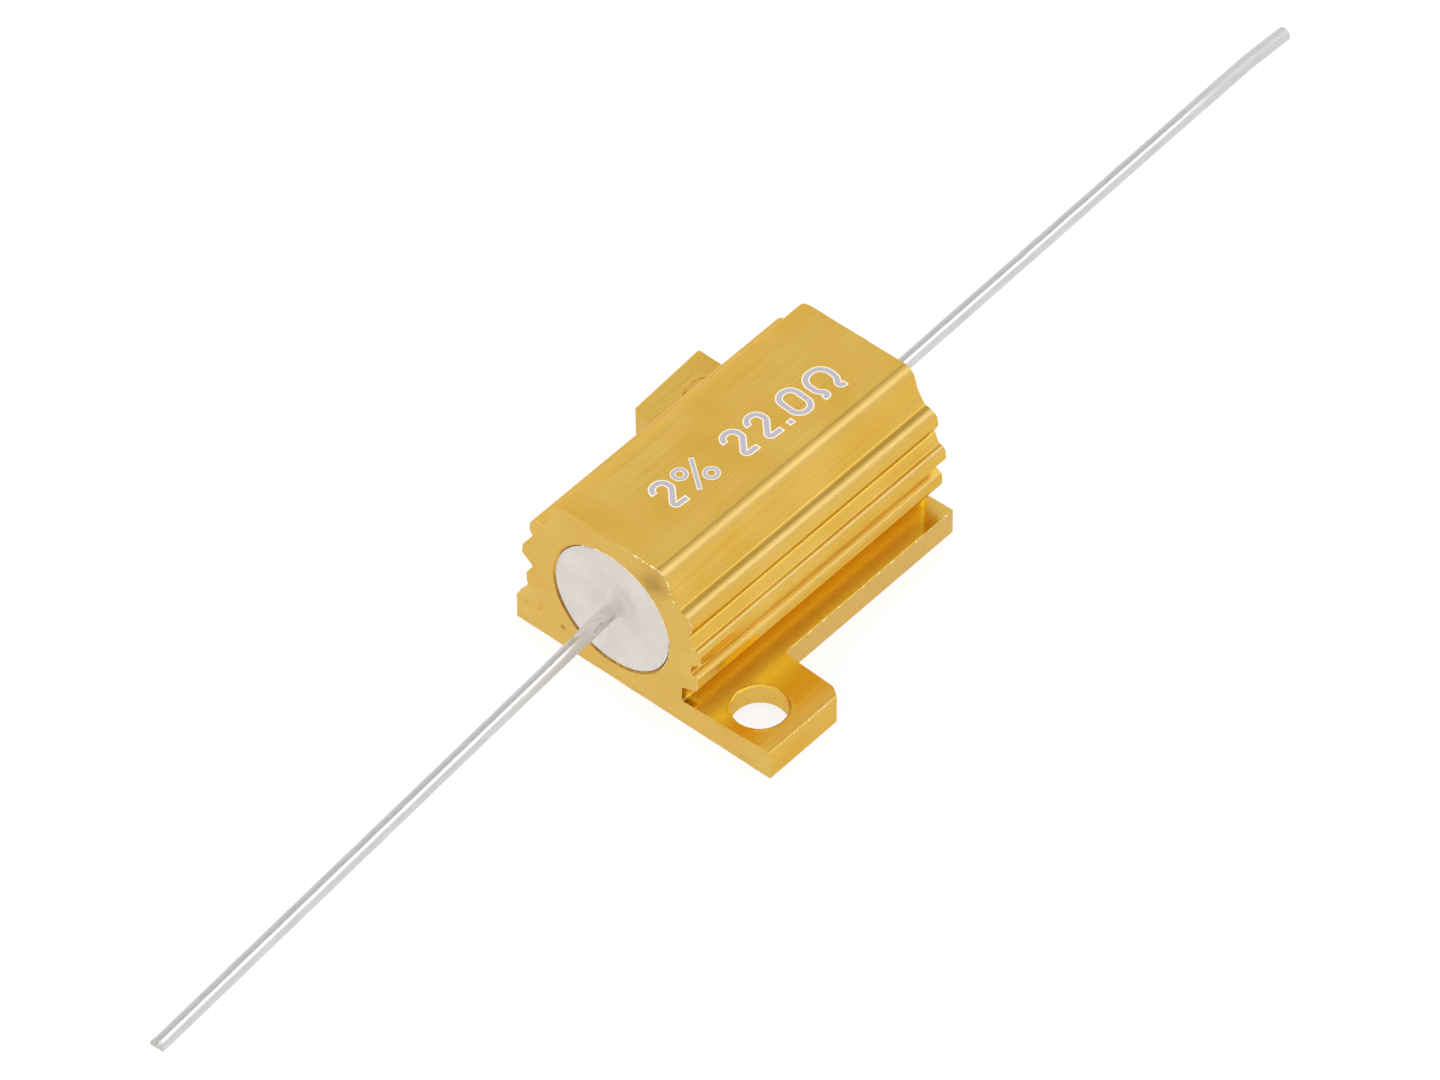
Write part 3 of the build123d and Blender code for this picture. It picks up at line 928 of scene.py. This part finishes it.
def tinned(name, tin, roughness):
    """Tin over copper-clad wire: bright, drawn lengthwise, a little cloudy in patches."""
    made, tree, shader = finish(name, Metallic=1.0)
    drawn = grain(tree, 0.05, (1, 120, 1), detail=2.0)
    cloud = grain(tree, 0.5, (1, 2.5, 1), detail=3.0, shift=5.0)
    speck = grain(tree, 0.06, detail=2.0, shift=9.0)
    tint = blend_colours(tree, between(tree, cloud, 0.0, 0.7), tin, shade(200, 198, 195))
    tint = blend_colours(tree, between(tree, speck, 0.0, 0.5, 0.62, 0.75), tint, shade(150, 146, 140))
    painted_highlight_and_dark_line, scuffed = on_mesh(tree, "painted_highlight_and_dark_line"), on_mesh(tree, "scuffed")
    # Painted highlight along the strip, painted dark line beside it.
    tint = blend_colours(tree, painted_highlight_and_dark_line, tint, painted_highlight_tin)
    tint = blend_colours(tree, between(tree, painted_highlight_and_dark_line, 0.0, 0.6, 0.0, -1.0), tint, painted_dark_line_tin)
    matt = maths(tree, "MULTIPLY_ADD", scuffed, scuffed_roughness, between(tree, cloud, *roughness))
    metal = between(tree, scuffed, 1.0, scuffed_metal, 0.0, 1.0)
    feed(tree, shader, Base_Color=tint, Roughness=matt, Metallic=metal)
    relief(tree, shader, (cloud, 0.012), (drawn, 0.0018), (speck, 0.002))
    return made


bright_tin = tinned("bright_tin", shade(211, 211, 211), (0.13, 0.2))
dull_tin = tinned("dull_tin", shade(200, 198, 194), (0.38, 0.55))
print("finishes for the wires:", bright_tin.name, dull_tin.name)

# %% Rings along a route
wire_radius, wire_sides, deepest_wear = 0.325, 48, 0.006
wire_angle = np.linspace(0, 2 * pi, wire_sides, endpoint=False)
wire_across, wire_up = np.cos(wire_angle), np.sin(wire_angle)


def wire_rings(route, radius, push=0.0):
    """Rings round a level route: route + radius * (sideways * cos a + up * sin a) + forward * push."""
    forward = np.gradient(route, axis=0)
    forward /= np.hypot(*forward.T)[:, None]
    out, rise = radius * wire_across, radius * wire_up
    push = push + 0 * out
    x = route[:, :1] + forward[:, 1:] * out + forward[:, :1] * push
    y = route[:, 1:] - forward[:, :1] * out + forward[:, 1:] * push
    return np.stack([x, y, axis_height + rise + 0 * x], axis=-1)


def along(route):
    """Distance of each point of a route from its start."""
    return np.concatenate([[0], np.cumsum(np.hypot(*np.diff(route, axis=0).T))])


def worn(route, seed):
    """Radius of handled wire on each ring: a slow wobble round it, as deep as deepest_wear."""
    s = along(route)[:, None]
    wobble = ripple(s + 0.4 * np.sin(wire_angle + seed), (5.3, 2.9, 1.7), seed)
    return wire_radius - deepest_wear / 2 + deepest_wear / 2 * wobble


print("wire, mm:", 2 * wire_radius, "worn by up to", deepest_wear)

# %% A lead from its rings
# Where the painted highlight strip and the painted dark line lie round the wire.
strip_at, strip_width, strip_gain = radians(64), 0.28, 0.8
dark_line_past, dark_line_width, dark_line_loss = 0.62, 0.22, 0.7


def tinned_lead(name, rings, closing, node_name, scuffs):
    """A lead from its rings; closing lists the rings that shut its far end, in the dull finish.

    The painted highlight is a bump of strip_gain along the line strip_at round the wire from its right
    side, and the painted dark line is a dip beside it, as deep as its loss. scuffs gives scuffed from
    the distance out of the sawn face and the angle from that line."""
    grid = np.concatenate([rings, closing])
    start = np.repeat(grid[:1].mean(axis=1, keepdims=True), wire_sides, axis=1)
    grid = np.concatenate([start, grid])
    quads = grid_quads(len(grid), wire_sides)
    out = grid - grid.mean(axis=1, keepdims=True)
    on_top = np.arctan2(out[:, :, 2], out[:, :, 0]) - strip_at
    painted_highlight_and_dark_line = strip_gain * np.exp(-(on_top / strip_width) ** 2)
    painted_highlight_and_dark_line -= dark_line_loss * np.exp(-((on_top - dark_line_past) / dark_line_width) ** 2)
    scuffed = scuffs(np.abs(grid[:, :, 1]) - face, on_top)
    tip = quads.shape[0] - len(closing) * wire_sides
    kinds = (np.arange(len(quads)) >= tip).astype(int)
    lead = dress(
        name, grid, quads, (bright_tin, dull_tin), kinds, crease=40.0,
        values={"painted_highlight_and_dark_line": painted_highlight_and_dark_line * (1 - scuffed), "scuffed": scuffed},
    )
    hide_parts(node_name)


def shut_end(middle, way, out, rise):
    """Rings across the end of a level wire that runs along way: middle + sideways * out + up * rise."""
    x, y = middle[0] + way[1] * out, middle[1] - way[0] * out
    return np.stack([x, y, axis_height + rise], axis=-1)


print("bright strip, degrees up on the right:", round(np.degrees(strip_at)))


# %% The front lead, pinched off
lead_tip = face + 28.25
front_route = rounded_line(
    [(0, -cap_face, 0), (0, -face + 0.5, 9.0), (2.0, -lead_tip, 0)], longest=0.25, turn=1.0
)
front_radius = worn(front_route, seed=2)
pinch_slope, pinch_edge = 1 / np.tan(radians(58.0)), 0.05


def pinched(height):
    """How far back from the tip the pinched faces are at this height from the wire's middle."""
    return np.maximum(np.abs(height) - pinch_edge, 0) * pinch_slope


def cement_haze(out, on_top):
    """Near the face all round, gone at 2.7 mm, and on the underside to 3 mm, fading out at 8 mm."""
    below = np.clip(1.6 - out / 5, 0, 1) * np.clip(-(on_top + 0.08) / 0.2, 0, 1)
    return np.maximum(below, 0.8 * np.clip(2.7 - out, 0, 1))


last_radius = front_radius[-1]
rise = last_radius * wire_up
front_push = np.zeros_like(front_radius)
front_push[-1] = -pinched(rise)
front_push[-2] = -pinched(rise) - 0.03
levels = np.array([0.26, 0.2, 0.14, 0.09, pinch_edge, 0.0])[:, None]
shut = np.sign(rise) * np.minimum(np.abs(rise), levels)
even = (last_radius + np.roll(last_radius[::-1], 1)) / 2
way = unit(front_route[-1] - front_route[-2])
set_back = front_route[-1][:, None, None] - way[:, None, None] * pinched(shut)
wedge = shut_end(set_back, way, even * wire_across, shut)
front_rings = wire_rings(front_route, front_radius, front_push)
tinned_lead("front_wire", front_rings, wedge, "front_lead", cement_haze)

# %% The rear lead, rounded, with a nick and a plier ring
tip_round, tip_flat = 0.14, 0.007
dents = ((13.2, 0.03, 0.16, 2.0), (17.6, 0.02, 0.08, 1.1), (9.4, 0.012, 0.2, 1.6))
rear_route = rounded_line(
    [(0, cap_face, 0), (0, face + 1.6, 9.0), (-0.6, lead_tip - 2.4, 9.0), (-0.52, lead_tip, 0)],
    longest=0.2, turn=1.0,
)
rear_radius = worn(rear_route, seed=6)
s = along(rear_route)[:, None]
for reach, depth, width, angle in dents:
    rear_radius -= depth * np.exp(-((s - reach) / width) ** 2 - ((wire_angle - angle) / 0.7) ** 2)

bow = np.linspace(0, pi / 2, 7)[1:]
tip_radii = rear_radius[-1] - tip_round * (1 - np.cos(bow))[:, None]
tip_radii = np.concatenate([tip_radii, tip_radii[-1:] * np.array([[0.6], [0.25], [0.0]])])
flat_ahead = tip_round + tip_flat * np.array([4, 6, 7]) / 7
tip_pushes = np.concatenate([tip_round * np.sin(bow), flat_ahead])[:, None]
way = unit(rear_route[-1] - rear_route[-2])
rear_route[-1] -= way * (tip_round + tip_flat)
pushed = rear_route[-1][:, None, None] + way[:, None, None] * tip_pushes
dome = shut_end(pushed, way, tip_radii * wire_across, tip_radii * wire_up)


tumbled, tumbled_fade = 4.5, 3.0


def tumbled_tip(out, on_top):
    """Whatever the angle, the last stretch is dulled, fading out before it."""
    return 0.8 * np.clip((out - lead_tip + face + tumbled + tumbled_fade) / tumbled_fade, 0, 1)


tinned_lead("rear_wire", wire_rings(rear_route, rear_radius), dome, "rear_lead", tumbled_tip)

# %% [markdown]
# ## White cement
#
# The bore is filled with cement that sets a little below the sawn face. As it dries it shrinks to a
# shallow dish, with a thin meniscus left up the wall and a low collar up the wire. It is turned: one
# profile of distance along the axis against radius, carried round. The profile also runs back through
# the wire's channel and round the room of the capped core, so that the cement is hollow where the real
# one is. The front wire leaves a little off the middle, and the points near it move over with it.
# Two faint stains lie against the wire.

# %% Cement finish
stained_cement = shade(190, 183, 175)
cement_stains = (
    ((0.4, -face, axis_height + 0.5), 0.9, 0.5),
    ((0.15, -face, axis_height + 0.2), 0.5, 0.4),
)
cement, tree, shader = finish("white_cement", Roughness=0.82)
cloud = grain(tree, 1.1, detail=3.0)
pores = grain(tree, 0.09, detail=3.0, shift=4.0)
tint = mottled(tree, cloud, shade(231, 225, 219), shade(222, 215, 209))
tint = blend_colours(tree, between(tree, pores, 0.0, 0.45, 0.6, 0.8), tint, shade(196, 188, 181))
feed(tree, shader, Base_Color=marked(tree, tint, stained_cement, cement_stains))
relief(tree, shader, (cloud, 0.05), (pores, 0.012))
print("stains on the cement:", len(cement_stains))

# %% The cement's profile
dish, gap = 0.3, 0.01
cement_face, collar_end, wall = face - 0.12, face + 0.12, bore_radius - gap
channel, collar_lip, collar_foot = wire_radius + gap, wire_radius + 0.03, 0.72
room, room_end = cap_radius + gap, cap_face + gap

fall = np.linspace(0, 1, 9)
collar_y = cement_face - dish + (collar_end - cement_face + dish) * (1 - fall) ** 2.4
collar_r = collar_lip + (collar_foot - collar_lip) * fall
disc_r = np.linspace(collar_foot + 0.15, wall - 0.3, 12)
disc_r = np.concatenate([disc_r, wall - np.array([0.2, 0.12, 0.06, 0.02, 0])])
disc_y = cement_face - dish * (1 - (disc_r / wall) ** 2) + 0.05 * np.exp(-(wall - disc_r) / 0.09)
channel_y = np.linspace(cap_face + 0.4, collar_end, 8)
half_y = np.concatenate([[room_end], channel_y, collar_y, disc_y, [cement_face - 0.3]])
half_r = np.concatenate([[channel], np.full(8, channel), collar_r, disc_r, [wall]])
profile_y = np.concatenate([-half_y, half_y[::-1], [room_end, -room_end]])
profile_r = np.concatenate([half_r, half_r[::-1], [room, room]])
print("points in the cement's profile:", len(profile_y))


# %% Turn the cement
def wire_offset(y):
    """How far the front wire's middle is to the right at this place along the axis."""
    return np.interp(-y, -front_route[:, 1], front_route[:, 0])


cement_sides, lump = 96, 0.012
angle = np.linspace(0, 2 * pi, cement_sides, endpoint=False)
across, rise = profile_r[:, None] * np.cos(angle), profile_r[:, None] * np.sin(angle)
near_wire = np.clip((1.6 - profile_r) / 0.9, 0, 1)
moved = wire_offset(profile_y) * (profile_y < 0) * near_wire
uneven = lump * np.interp(profile_r, [channel, 0.6, 1.2, 2.6, wall], [0, 1, 1, 1, 0])
end_face = (np.abs(profile_y) > cement_face - dish - 0.1) * np.sign(profile_y)
lumps = ripple(across + 0.3, (1.9, 1.1), 8) * ripple(rise, (2.3, 1.3), 9)
grid = np.stack([
    moved[:, None] + across,
    profile_y[:, None] + (end_face * uneven)[:, None] * lumps,
    axis_height + rise,
], axis=-1)
cement_quads = grid_quads(len(grid), cement_sides, round_rows=True)
cement_fill = dress("cement_fill", grid, cement_quads, (cement,), crease=35.0)
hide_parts("potting")

# %% [markdown]
# ## A film of cement on the front wire
#
# Wet cement ran a couple of millimetres along the front wire and dried to a dull grey film with a
# ragged edge. It is a sleeve a few hundredths of a millimetre thick, whose thickness falls to less
# than nothing at an uneven line, so that past it the sleeve dips under the wire's surface.

# %% Film finish
film_paint, tree, shader = finish("dried_film")
smear = grain(tree, 0.35, (1, 3, 1), detail=3.0)
specks = grain(tree, 0.16, (1, 2, 1), detail=2.0, shift=6.0)
tint = mottled(tree, smear, shade(216, 211, 205), shade(196, 191, 186))
tint = blend_colours(tree, between(tree, specks, 0.0, 0.7, 0.56, 0.7), tint, shade(150, 144, 138))
feed(tree, shader, Base_Color=tint, Roughness=between(tree, smear, 0.42, 0.7))
relief(tree, shader, (smear, 0.015), (specks, 0.01))
print("film finish:", film_paint.name)

# %% Film sleeve
film_start, film_length, film_spare = face - 0.5, 2.5, 0.9
film_thick, film_inset = 0.022, 0.03
reach = np.linspace(0, 1, 60) * (film_length + film_spare)
film_y = -(film_start + reach)
film_route = np.stack([wire_offset(film_y), film_y], axis=1)
ragged = film_length + 0.35 * ripple(wire_angle, (2 * pi, pi, 2 * pi / 3, 2 * pi / 5), 12)
thick = film_thick * np.clip((ragged - reach[:, None]) / 0.5, -0.6, 1.0)
outside = wire_rings(film_route, wire_radius + thick)
inside = wire_rings(film_route, wire_radius - film_inset + 0 * thick)[::-1]
sleeve = np.concatenate([outside, inside])
film_quads = grid_quads(len(sleeve), wire_sides, round_rows=True)
dress("dried_film", sleeve, film_quads, (film_paint,))

# %% [markdown]
# ## Burrs
#
# Saw, cutter and drill each raise a hair of bright metal on the edge that they leave last, and the
# tumbler takes most of it off again. What is left is modelled as hairs: thin closed tubes that lie
# on an edge, with a radius that swells and vanishes at random along it.

# %% Bare edge finish
bare_edge, tree, shader = finish("bare_edge", Metallic=1.0)
worked = grain(tree, 0.05, detail=2.0)
tint = mottled(tree, worked, shade(255, 247, 208), shade(240, 216, 146))
feed(tree, shader, Base_Color=tint, Roughness=between(tree, worked, 0.12, 0.3))
relief(tree, shader, (worked, 0.003))
print("burr finish:", bare_edge.name)

# %% A hair along an edge
hair_step, hair_sides, thinnest = 0.03, 6, 0.04


def hair(corners, thickness, amounts, seed):
    """A closed tube along corners: its radius is thickness * 2.5 * (ripple + amount), held from 0 to 1.

    amounts gives the amount at the start and at the end: below 0 leaves specks, 1 a whole line.
    Between specks the radius stays thinnest * thickness, so that a hair is one closed shape."""
    corners = np.array(corners, float)
    reach = np.concatenate([[0], np.cumsum(np.linalg.norm(np.diff(corners, axis=0), axis=1))])
    s = np.arange(0, reach[-1], hair_step)
    line = np.stack([np.interp(s, reach, corners[:, k]) for k in range(3)], axis=1)
    ahead = np.gradient(line, axis=0)
    first = np.cross(ahead, [0.31, -0.52, 0.79])
    first /= np.linalg.norm(first, axis=1)[:, None]
    second = np.cross(ahead / np.linalg.norm(ahead, axis=1)[:, None], first)
    radius = ripple(s, (0.83, 0.47, 0.19, 0.11), seed) + np.linspace(*amounts, len(s))
    radius = thickness * np.clip(2.5 * radius, thinnest, 1.0)
    radius[[0, -1]] = 0
    turn = np.linspace(0, 2 * pi, hair_sides, endpoint=False)[:, None]
    around_line = first[:, None] * np.cos(turn) + second[:, None] * np.sin(turn)
    points = line[:, None] + around_line * radius[:, None, None]
    return points.reshape(-1, 3), grid_quads(len(s), hair_sides)


print("a hair has a ring every", hair_step, "mm")


# %% The edges that carry hairs
def circle_arc(middle_x, middle_y, radius, start, stop, count):
    """x and y of count points on a circle, between two angles in degrees."""
    a = np.linspace(radians(start), radians(stop), count)
    return middle_x + radius * np.cos(a), middle_y + radius * np.sin(a)


section = np.column_stack([body[:, 0], np.full(len(body), -face), body[:, 1]])
shoulder_z = axis_height + 2.5
top_front = section[(section[:, 0] > 0.1) & (section[:, 2] > top - 0.02)]
shoulder_front = section[(section[:, 0] > 2.4) & (section[:, 2] > shoulder_z)]
fins_front = section[(section[:, 2] <= shoulder_z) & (section[:, 2] > notch_top)]

rim_x, rim_y = circle_arc(hole_span, hole_inset - face, hole_radius + 0.06, 55, 205, 40)
mouth_x, mouth_z = circle_arc(0, axis_height, bore_radius + bore_break, -35, 120, 60)
rim = np.column_stack([rim_x, rim_y, flange_top(rim_x) + 0.01])
mouth = np.column_stack([mouth_x, np.full_like(mouth_x, -face), mouth_z])
milled_z, lug_x, lug_z = 1.315, lug_reach - 0.05, 1.462
right_cut = [(cut_x, -2.6, milled_z), (cut_x, 7.4, milled_z)]
left_cut = [(-x, -y, z) for x, y, z in right_cut]
lug_edge = [(lug_x, -7.2, lug_z), (lug_x, -3.6, lug_z)]
print("points along the front edge of the fins:", len(fins_front))

# %% Bright hairs along the edges
hairs = [hair(*settings) for settings in (
    (top_front, 0.034, (-0.6, 0.6), 31),
    (shoulder_front, 0.03, (0.7, -0.5), 32),
    (fins_front, 0.02, (-0.4, -0.5), 33),
    (rim, 0.018, (0.1, -0.2), 34),
    (mouth, 0.024, (0.5, 0.2), 35),
    (right_cut, 0.032, (-0.1, -0.2), 47),
    (left_cut, 0.032, (-0.1, -0.2), 45),
    (lug_edge, 0.026, (-0.5, 0.3), 37),
)]
starts = np.cumsum([0] + [len(p) for p, _ in hairs])
hair_points = np.concatenate([p for p, _ in hairs])
hair_quads = np.concatenate([q + start for (_, q), start in zip(hairs, starts)])
dress("edge_burrs", hair_points, hair_quads, (bare_edge,))

# %% [markdown]
# ## The print on top
#
# The real print is burned through the gold film with a fine beam: silver-grey strokes with a paler
# line on both sides. Letters could come from a text object, but pen strokes give that double
# edge for nothing: each stroke is a flat ribbon carried along a line, and every point knows how
# far it is from the stroke's edge. The words are a plain value and tolerance.

# %% Print finish
printed, tree, shader = finish("burned_print", Metallic=0.0)
mottle = grain(tree, 0.07, detail=2.0)
tint = mottled(tree, mottle, shade(198, 193, 198), shade(172, 168, 176))
pale_line = between(tree, on_mesh(tree, "inside"), 1.0, 0.0, 0.28, 0.4)
tint = blend_colours(tree, pale_line, tint, shade(248, 240, 226))
feed(tree, shader, Base_Color=tint, Roughness=between(tree, mottle, 0.45, 0.6))
relief(tree, shader, (mottle, 0.004))
print("print finish:", printed.name)

# %% Pen strokes
pen_across = np.array([-1, -0.85, -0.66, -0.35, 0, 0.35, 0.66, 0.85, 1, 0.5, 0, -0.5])
pen_up = np.interp(np.abs(pen_across), [0.66, 0.85, 1], [0.005, 0.004, 0.001])
pen_up[9:] = -0.02                  # the last three points are sunk below the skin


def stroke(corners, half_width):
    """A flat ribbon along a rounded line of corners, closed to a ring if its ends meet.

    A point is line + sideways * v * half_width, where v runs over pen_across: from -1 to 1 on top and
    back underneath. inside is its distance from the nearest edge or end, in half widths."""
    line = rounded_line(corners, longest=0.06, turn=9.0)
    looped = np.allclose(line[0], line[-1])
    if looped:
        line = line[:-1]
        ahead = np.roll(line, -1, axis=0) - np.roll(line, 1, axis=0)
    else:
        ahead = np.gradient(line, axis=0)
    ahead /= np.hypot(*ahead.T)[:, None]
    sideways = np.stack([-ahead[:, 1], ahead[:, 0]], axis=1)
    s = along(line)
    width = np.full(len(line), half_width)
    if not looped:
        to_end = np.minimum(s, s[-1] - s)
        width = half_width * (0.93 + 0.07 * np.clip(to_end / 0.03, 0, 1))
    flat = line[:, None] + sideways[:, None] * (pen_across * width[:, None])[:, :, None]
    heights = np.broadcast_to(top + pen_up, flat.shape[:2])
    ribbon = np.concatenate([flat, heights[:, :, None]], axis=2)
    inside = (1 - np.abs(pen_across)) * np.ones((len(line), 1))
    if not looped:
        inside = np.minimum(inside, to_end[:, None] / half_width)
        inside = np.pad(inside, ((1, 1), (0, 0)))
        first, last = ribbon[:1].mean(axis=1, keepdims=True), ribbon[-1:].mean(axis=1, keepdims=True)
        shut = [np.repeat(middle, len(pen_across), axis=1) for middle in (first, last)]
        ribbon = np.concatenate([shut[0], ribbon, shut[1]])
    return ribbon, inside, grid_quads(len(ribbon), len(pen_across), round_rows=looped)


print("points across a stroke:", len(pen_across))

# %% The letter shapes
two = [
    (0.17, 1.08, 0), (0.17, 1.45, 0.34), (0.89, 1.45, 0.34), (0.89, 0.93, 0.2), (0.2, 0.15, 0.12),
    (0.96, 0.15, 0),
]
nought = [
    (0.57, 0.15, 0), (0.15, 0.15, 0.4), (0.15, 1.45, 0.4), (0.99, 1.45, 0.4), (0.99, 0.15, 0.4),
    (0.57, 0.15, 0),
]
ohm = [
    (0.1, 0.15, 0), (0.5, 0.15, 0.13), (0.15, 0.62, 0.3), (0.15, 1.45, 0.5), (1.25, 1.45, 0.5),
    (1.25, 0.62, 0.3), (0.9, 0.15, 0.13), (1.3, 0.15, 0),
]
slash, point = [(0.32, 0.1, 0), (1.24, 1.5, 0)], [(0.15, 0.02, 0), (0.15, 0.3, 0)]


def small_ring(x, y, r):
    """A ring of radius r: the four corners of a square round it, each rounded by almost r."""
    ways = ((-1, -1), (-1, 1), (1, 1), (1, -1))
    corners = [(x + r * across, y + r * up, r * 0.99) for across, up in ways]
    return [(x, y - r, 0), *corners, (x, y - r, 0)]


print("corners of an ohm sign:", len(ohm))

# %% Set the line and print it
enlarged, pen, thin_pen = 1.07, 0.15, 0.105
origin, forward = np.array([0.92, -4.78]), unit(np.array([0.0677, 0.9977]))
upward = np.array([-forward[1], forward[0]])
glyphs = (
    (0.0, (two,), pen),
    (1.22, (small_ring(0.34, 1.2, 0.25), small_ring(1.22, 0.4, 0.25), slash), thin_pen),
    (3.7, (two,), pen), (4.95, (two,), pen), (6.22, (point,), pen), (6.65, (nought,), pen),
    (8.0, (ohm,), pen),
)
strokes, depths, print_quads, count = [], [], [], 0
for offset, lines, half_width in glyphs:
    for corners in lines:
        ribbon, inside, quads = stroke(corners, half_width)
        strokes.append(ribbon.reshape(-1, 3) + np.array([offset, 0, 0]))
        depths.append(inside.ravel())
        print_quads.append(quads + count)
        count += len(strokes[-1])
flat = np.concatenate(strokes)
placed = origin + enlarged * (flat[:, :1] * forward + flat[:, 1:2] * upward)
dress(
    "rating_print", np.column_stack([placed, flat[:, 2]]), np.concatenate(print_quads), (printed,),
    values={"inside": np.concatenate(depths)},
)

# %% [markdown]
# ## The pieces sealed inside
#
# The ceramic core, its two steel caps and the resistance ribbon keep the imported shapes, which are
# right as they are. Nobody sees them through the cement, but a part that is opened or cut for a lesson
# should still show ceramic, nickel plate and drawn ribbon, so each gets its own finish.

# %% Finishes for the inner pieces
rod, tree, shader = finish("fired_ceramic", Roughness=0.7)
fired = grain(tree, 0.4, detail=3.0)
feed(tree, shader, Base_Color=mottled(tree, fired, shade(236, 231, 222), shade(222, 215, 202)))
relief(tree, shader, (fired, 0.01))

plate, tree, shader = finish("nickel_plate", Metallic=1.0)
drawn = grain(tree, 0.06, (1, 30, 1), detail=2.0)
tint = mottled(tree, drawn, shade(208, 203, 192), shade(188, 182, 170))
feed(tree, shader, Base_Color=tint, Roughness=between(tree, drawn, 0.22, 0.38))
relief(tree, shader, (drawn, 0.002))

ribbon, tree, shader = finish("drawn_ribbon", Metallic=1.0)
heat = grain(tree, 0.8, detail=2.0)
tint = mottled(tree, heat, shade(170, 163, 152), shade(138, 126, 112))
feed(tree, shader, Base_Color=tint, Roughness=between(tree, heat, 0.3, 0.5))
relief(tree, shader, (grain(tree, 0.03, detail=1.0, shift=2.0), 0.0015))

inner_finishes = {
    "ceramic_core": rod, "front_end_cap": plate, "rear_end_cap": plate, "resistance_winding": ribbon,
}
for name, material in inner_finishes.items():
    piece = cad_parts[name]
    piece.data.materials.clear()
    piece.data.materials.append(material)
print("kept from the packed model:", sorted(inner_finishes))
